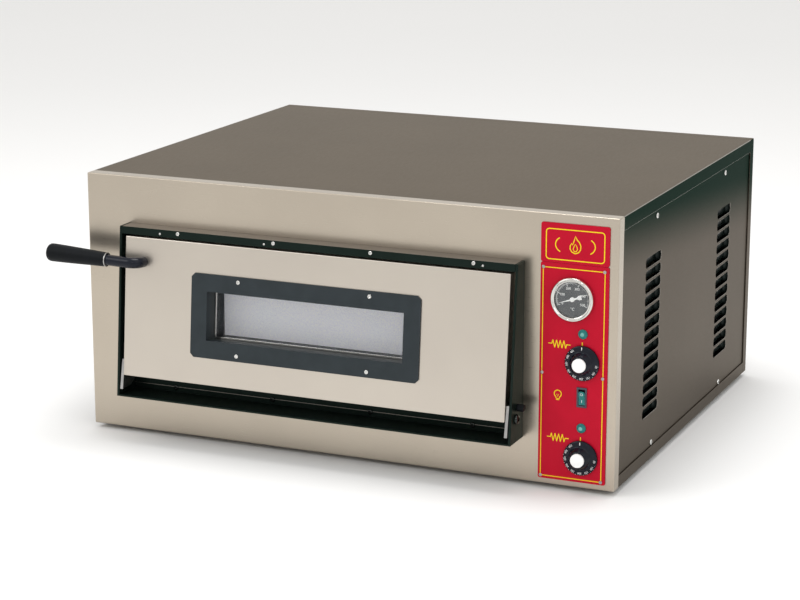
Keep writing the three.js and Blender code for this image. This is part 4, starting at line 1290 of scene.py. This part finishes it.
# %% Gland
gland_profile = [(0, 723.3), (8, 723.3), (8, 735.3), (11.2, 735.3), (11.2, 742.3), (10.6, 743),
                 (10.5, 750), (10.1, 751.6), (9, 753.2), (4.6, 753.3), (4.2, 752.9),
                 (4.2, 738.3), (0, 738.3)]
GLAND_PLACE = (385, 0, 62)
gland = turned(gland_profile, GLAND_PLACE, "Y", 48)
nut_profile = [(11.25, 735.35), (13, 735.35), (13, 740.4), (12.4, 741), (11.25, 741),
               (11.25, 735.35)]
nut = turned(nut_profile, GLAND_PLACE, "Y", 6)
dress(joined([gland, nut], "gland"), "supply_gland", "casing", "black_plastic", black_plastic,
      stands_for=["cable_gland"])

# %% Hearth stones
for side in ("left", "right"):
    stone = soften(copy_of("hearth_stone_" + side), 1.2, 3)
    dress(stone, side + "_hearth_slab", "casing", "hearth_stone", hearth_stone,
          stands_for=["hearth_stone_" + side])

# %% Heating rods
for level in ("upper", "lower"):
    for end in ("front", "rear"):
        node = f"{level}_element_{end}"
        heater = copy_of(node)
        smooth = heater.modifiers.new("round", "SUBSURF")
        smooth.levels = smooth.render_levels = 1
        bpy.ops.object.modifier_apply(modifier=smooth.name)
        bpy.ops.object.shade_smooth_by_angle(angle=math.radians(60))
        dress(heater, node + "_rod", "casing", "element_sheath", element_sheath,
              stands_for=[node])

# %% Rope seal round the mouth
rope = soften(copy_of("door_seal"), 1.4, 4)
dress(rope, "rope_seal", "casing", "mineral_wool", mineral_wool, stands_for=["door_seal"])

# %% [markdown]
# The parts that are already right keep their frame shape and only get their finish: the chamber's
# sheets, the wool, and the fittings inside the wiring space.

# %% Finishes for the frame's own parts
KEPT = dict.fromkeys(("chamber_roof", "chamber_floor", "chamber_left_wall", "chamber_right_wall",
                      "chamber_back_wall", "stone_rail_front", "stone_rail_rear"), chamber_steel)
KEPT |= dict.fromkeys(("insulation_top", "insulation_bottom", "insulation_wrap",
                       "door_insulation"), mineral_wool)
KEPT |= dict.fromkeys(("chamber_lamp", "upper_thermostat", "lower_thermostat", "terminal_block"),
                      porcelain)
for node, used in KEPT.items():
    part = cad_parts[node]
    part.data.materials.clear()
    part.data.materials.append(used)
still_plain = [name for name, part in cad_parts.items()
               if not part.hide_render and name not in KEPT]
print("frame parts without a finish:", still_plain)

# %% [markdown]
# ## Floor and light
# The oven stands on a plain pale floor under soft studio light: a bright even surround, a large
# panel overhead, a weaker one high at the left front and a still weaker one at the right. Large
# lights were chosen, because satin metal shows the light's own shape, and a large one leaves only
# a gentle gradient. One small light in front gives the screws and the chrome their sparks.

# %% Floor
only_nothing()
bpy.ops.mesh.primitive_plane_add(size=60, location=(0, 0, 0))
floor = settle(bpy.context.object)
floor.name = "floor"
floor.data.materials.append(finish("floor", (0.86, 0.86, 0.86), (0.85, 0.85, 0.85), 0.9, patch=0.5,
                                   grain=40))

# %% Light


def soft_panel(name, place, aim, size, power):
    only_nothing()
    bpy.ops.object.light_add(type="AREA", location=place)
    lamp = bpy.context.object
    lamp.name = name
    lamp.data.shape = "SQUARE"
    lamp.data.size = size
    lamp.data.energy = power
    lamp.rotation_euler = (Vector(aim) - Vector(place)).to_track_quat("-Z", "Y").to_euler()
    return lamp


soft_panel("left_panel", (-2.0, -2.2, 2.4), (0, 0, 0.2), 1.6, 20)
soft_panel("right_panel", (2.6, -1.6, 2.2), (0.2, 0, 0.2), 1.6, 8)
soft_panel("top_panel", (0.1, 0.1, 2.8), (0, 0, 0.4), 1.4, 42)
soft_panel("front_spark", (0.9, -3.4, 2.2), (0, 0, 0.2), 0.25, 5)
world = bpy.data.worlds.new("studio")
bpy.context.scene.world = world
world.use_nodes = True
world.node_tree.nodes["Background"].inputs["Color"].default_value = (1.0, 0.99, 0.97, 1)
world.node_tree.nodes["Background"].inputs["Strength"].default_value = 0.92
bpy.context.scene.view_settings.view_transform = "Standard"

# %% [markdown]
# Last, the view layer is updated.

# %% End
bpy.context.view_layer.update()
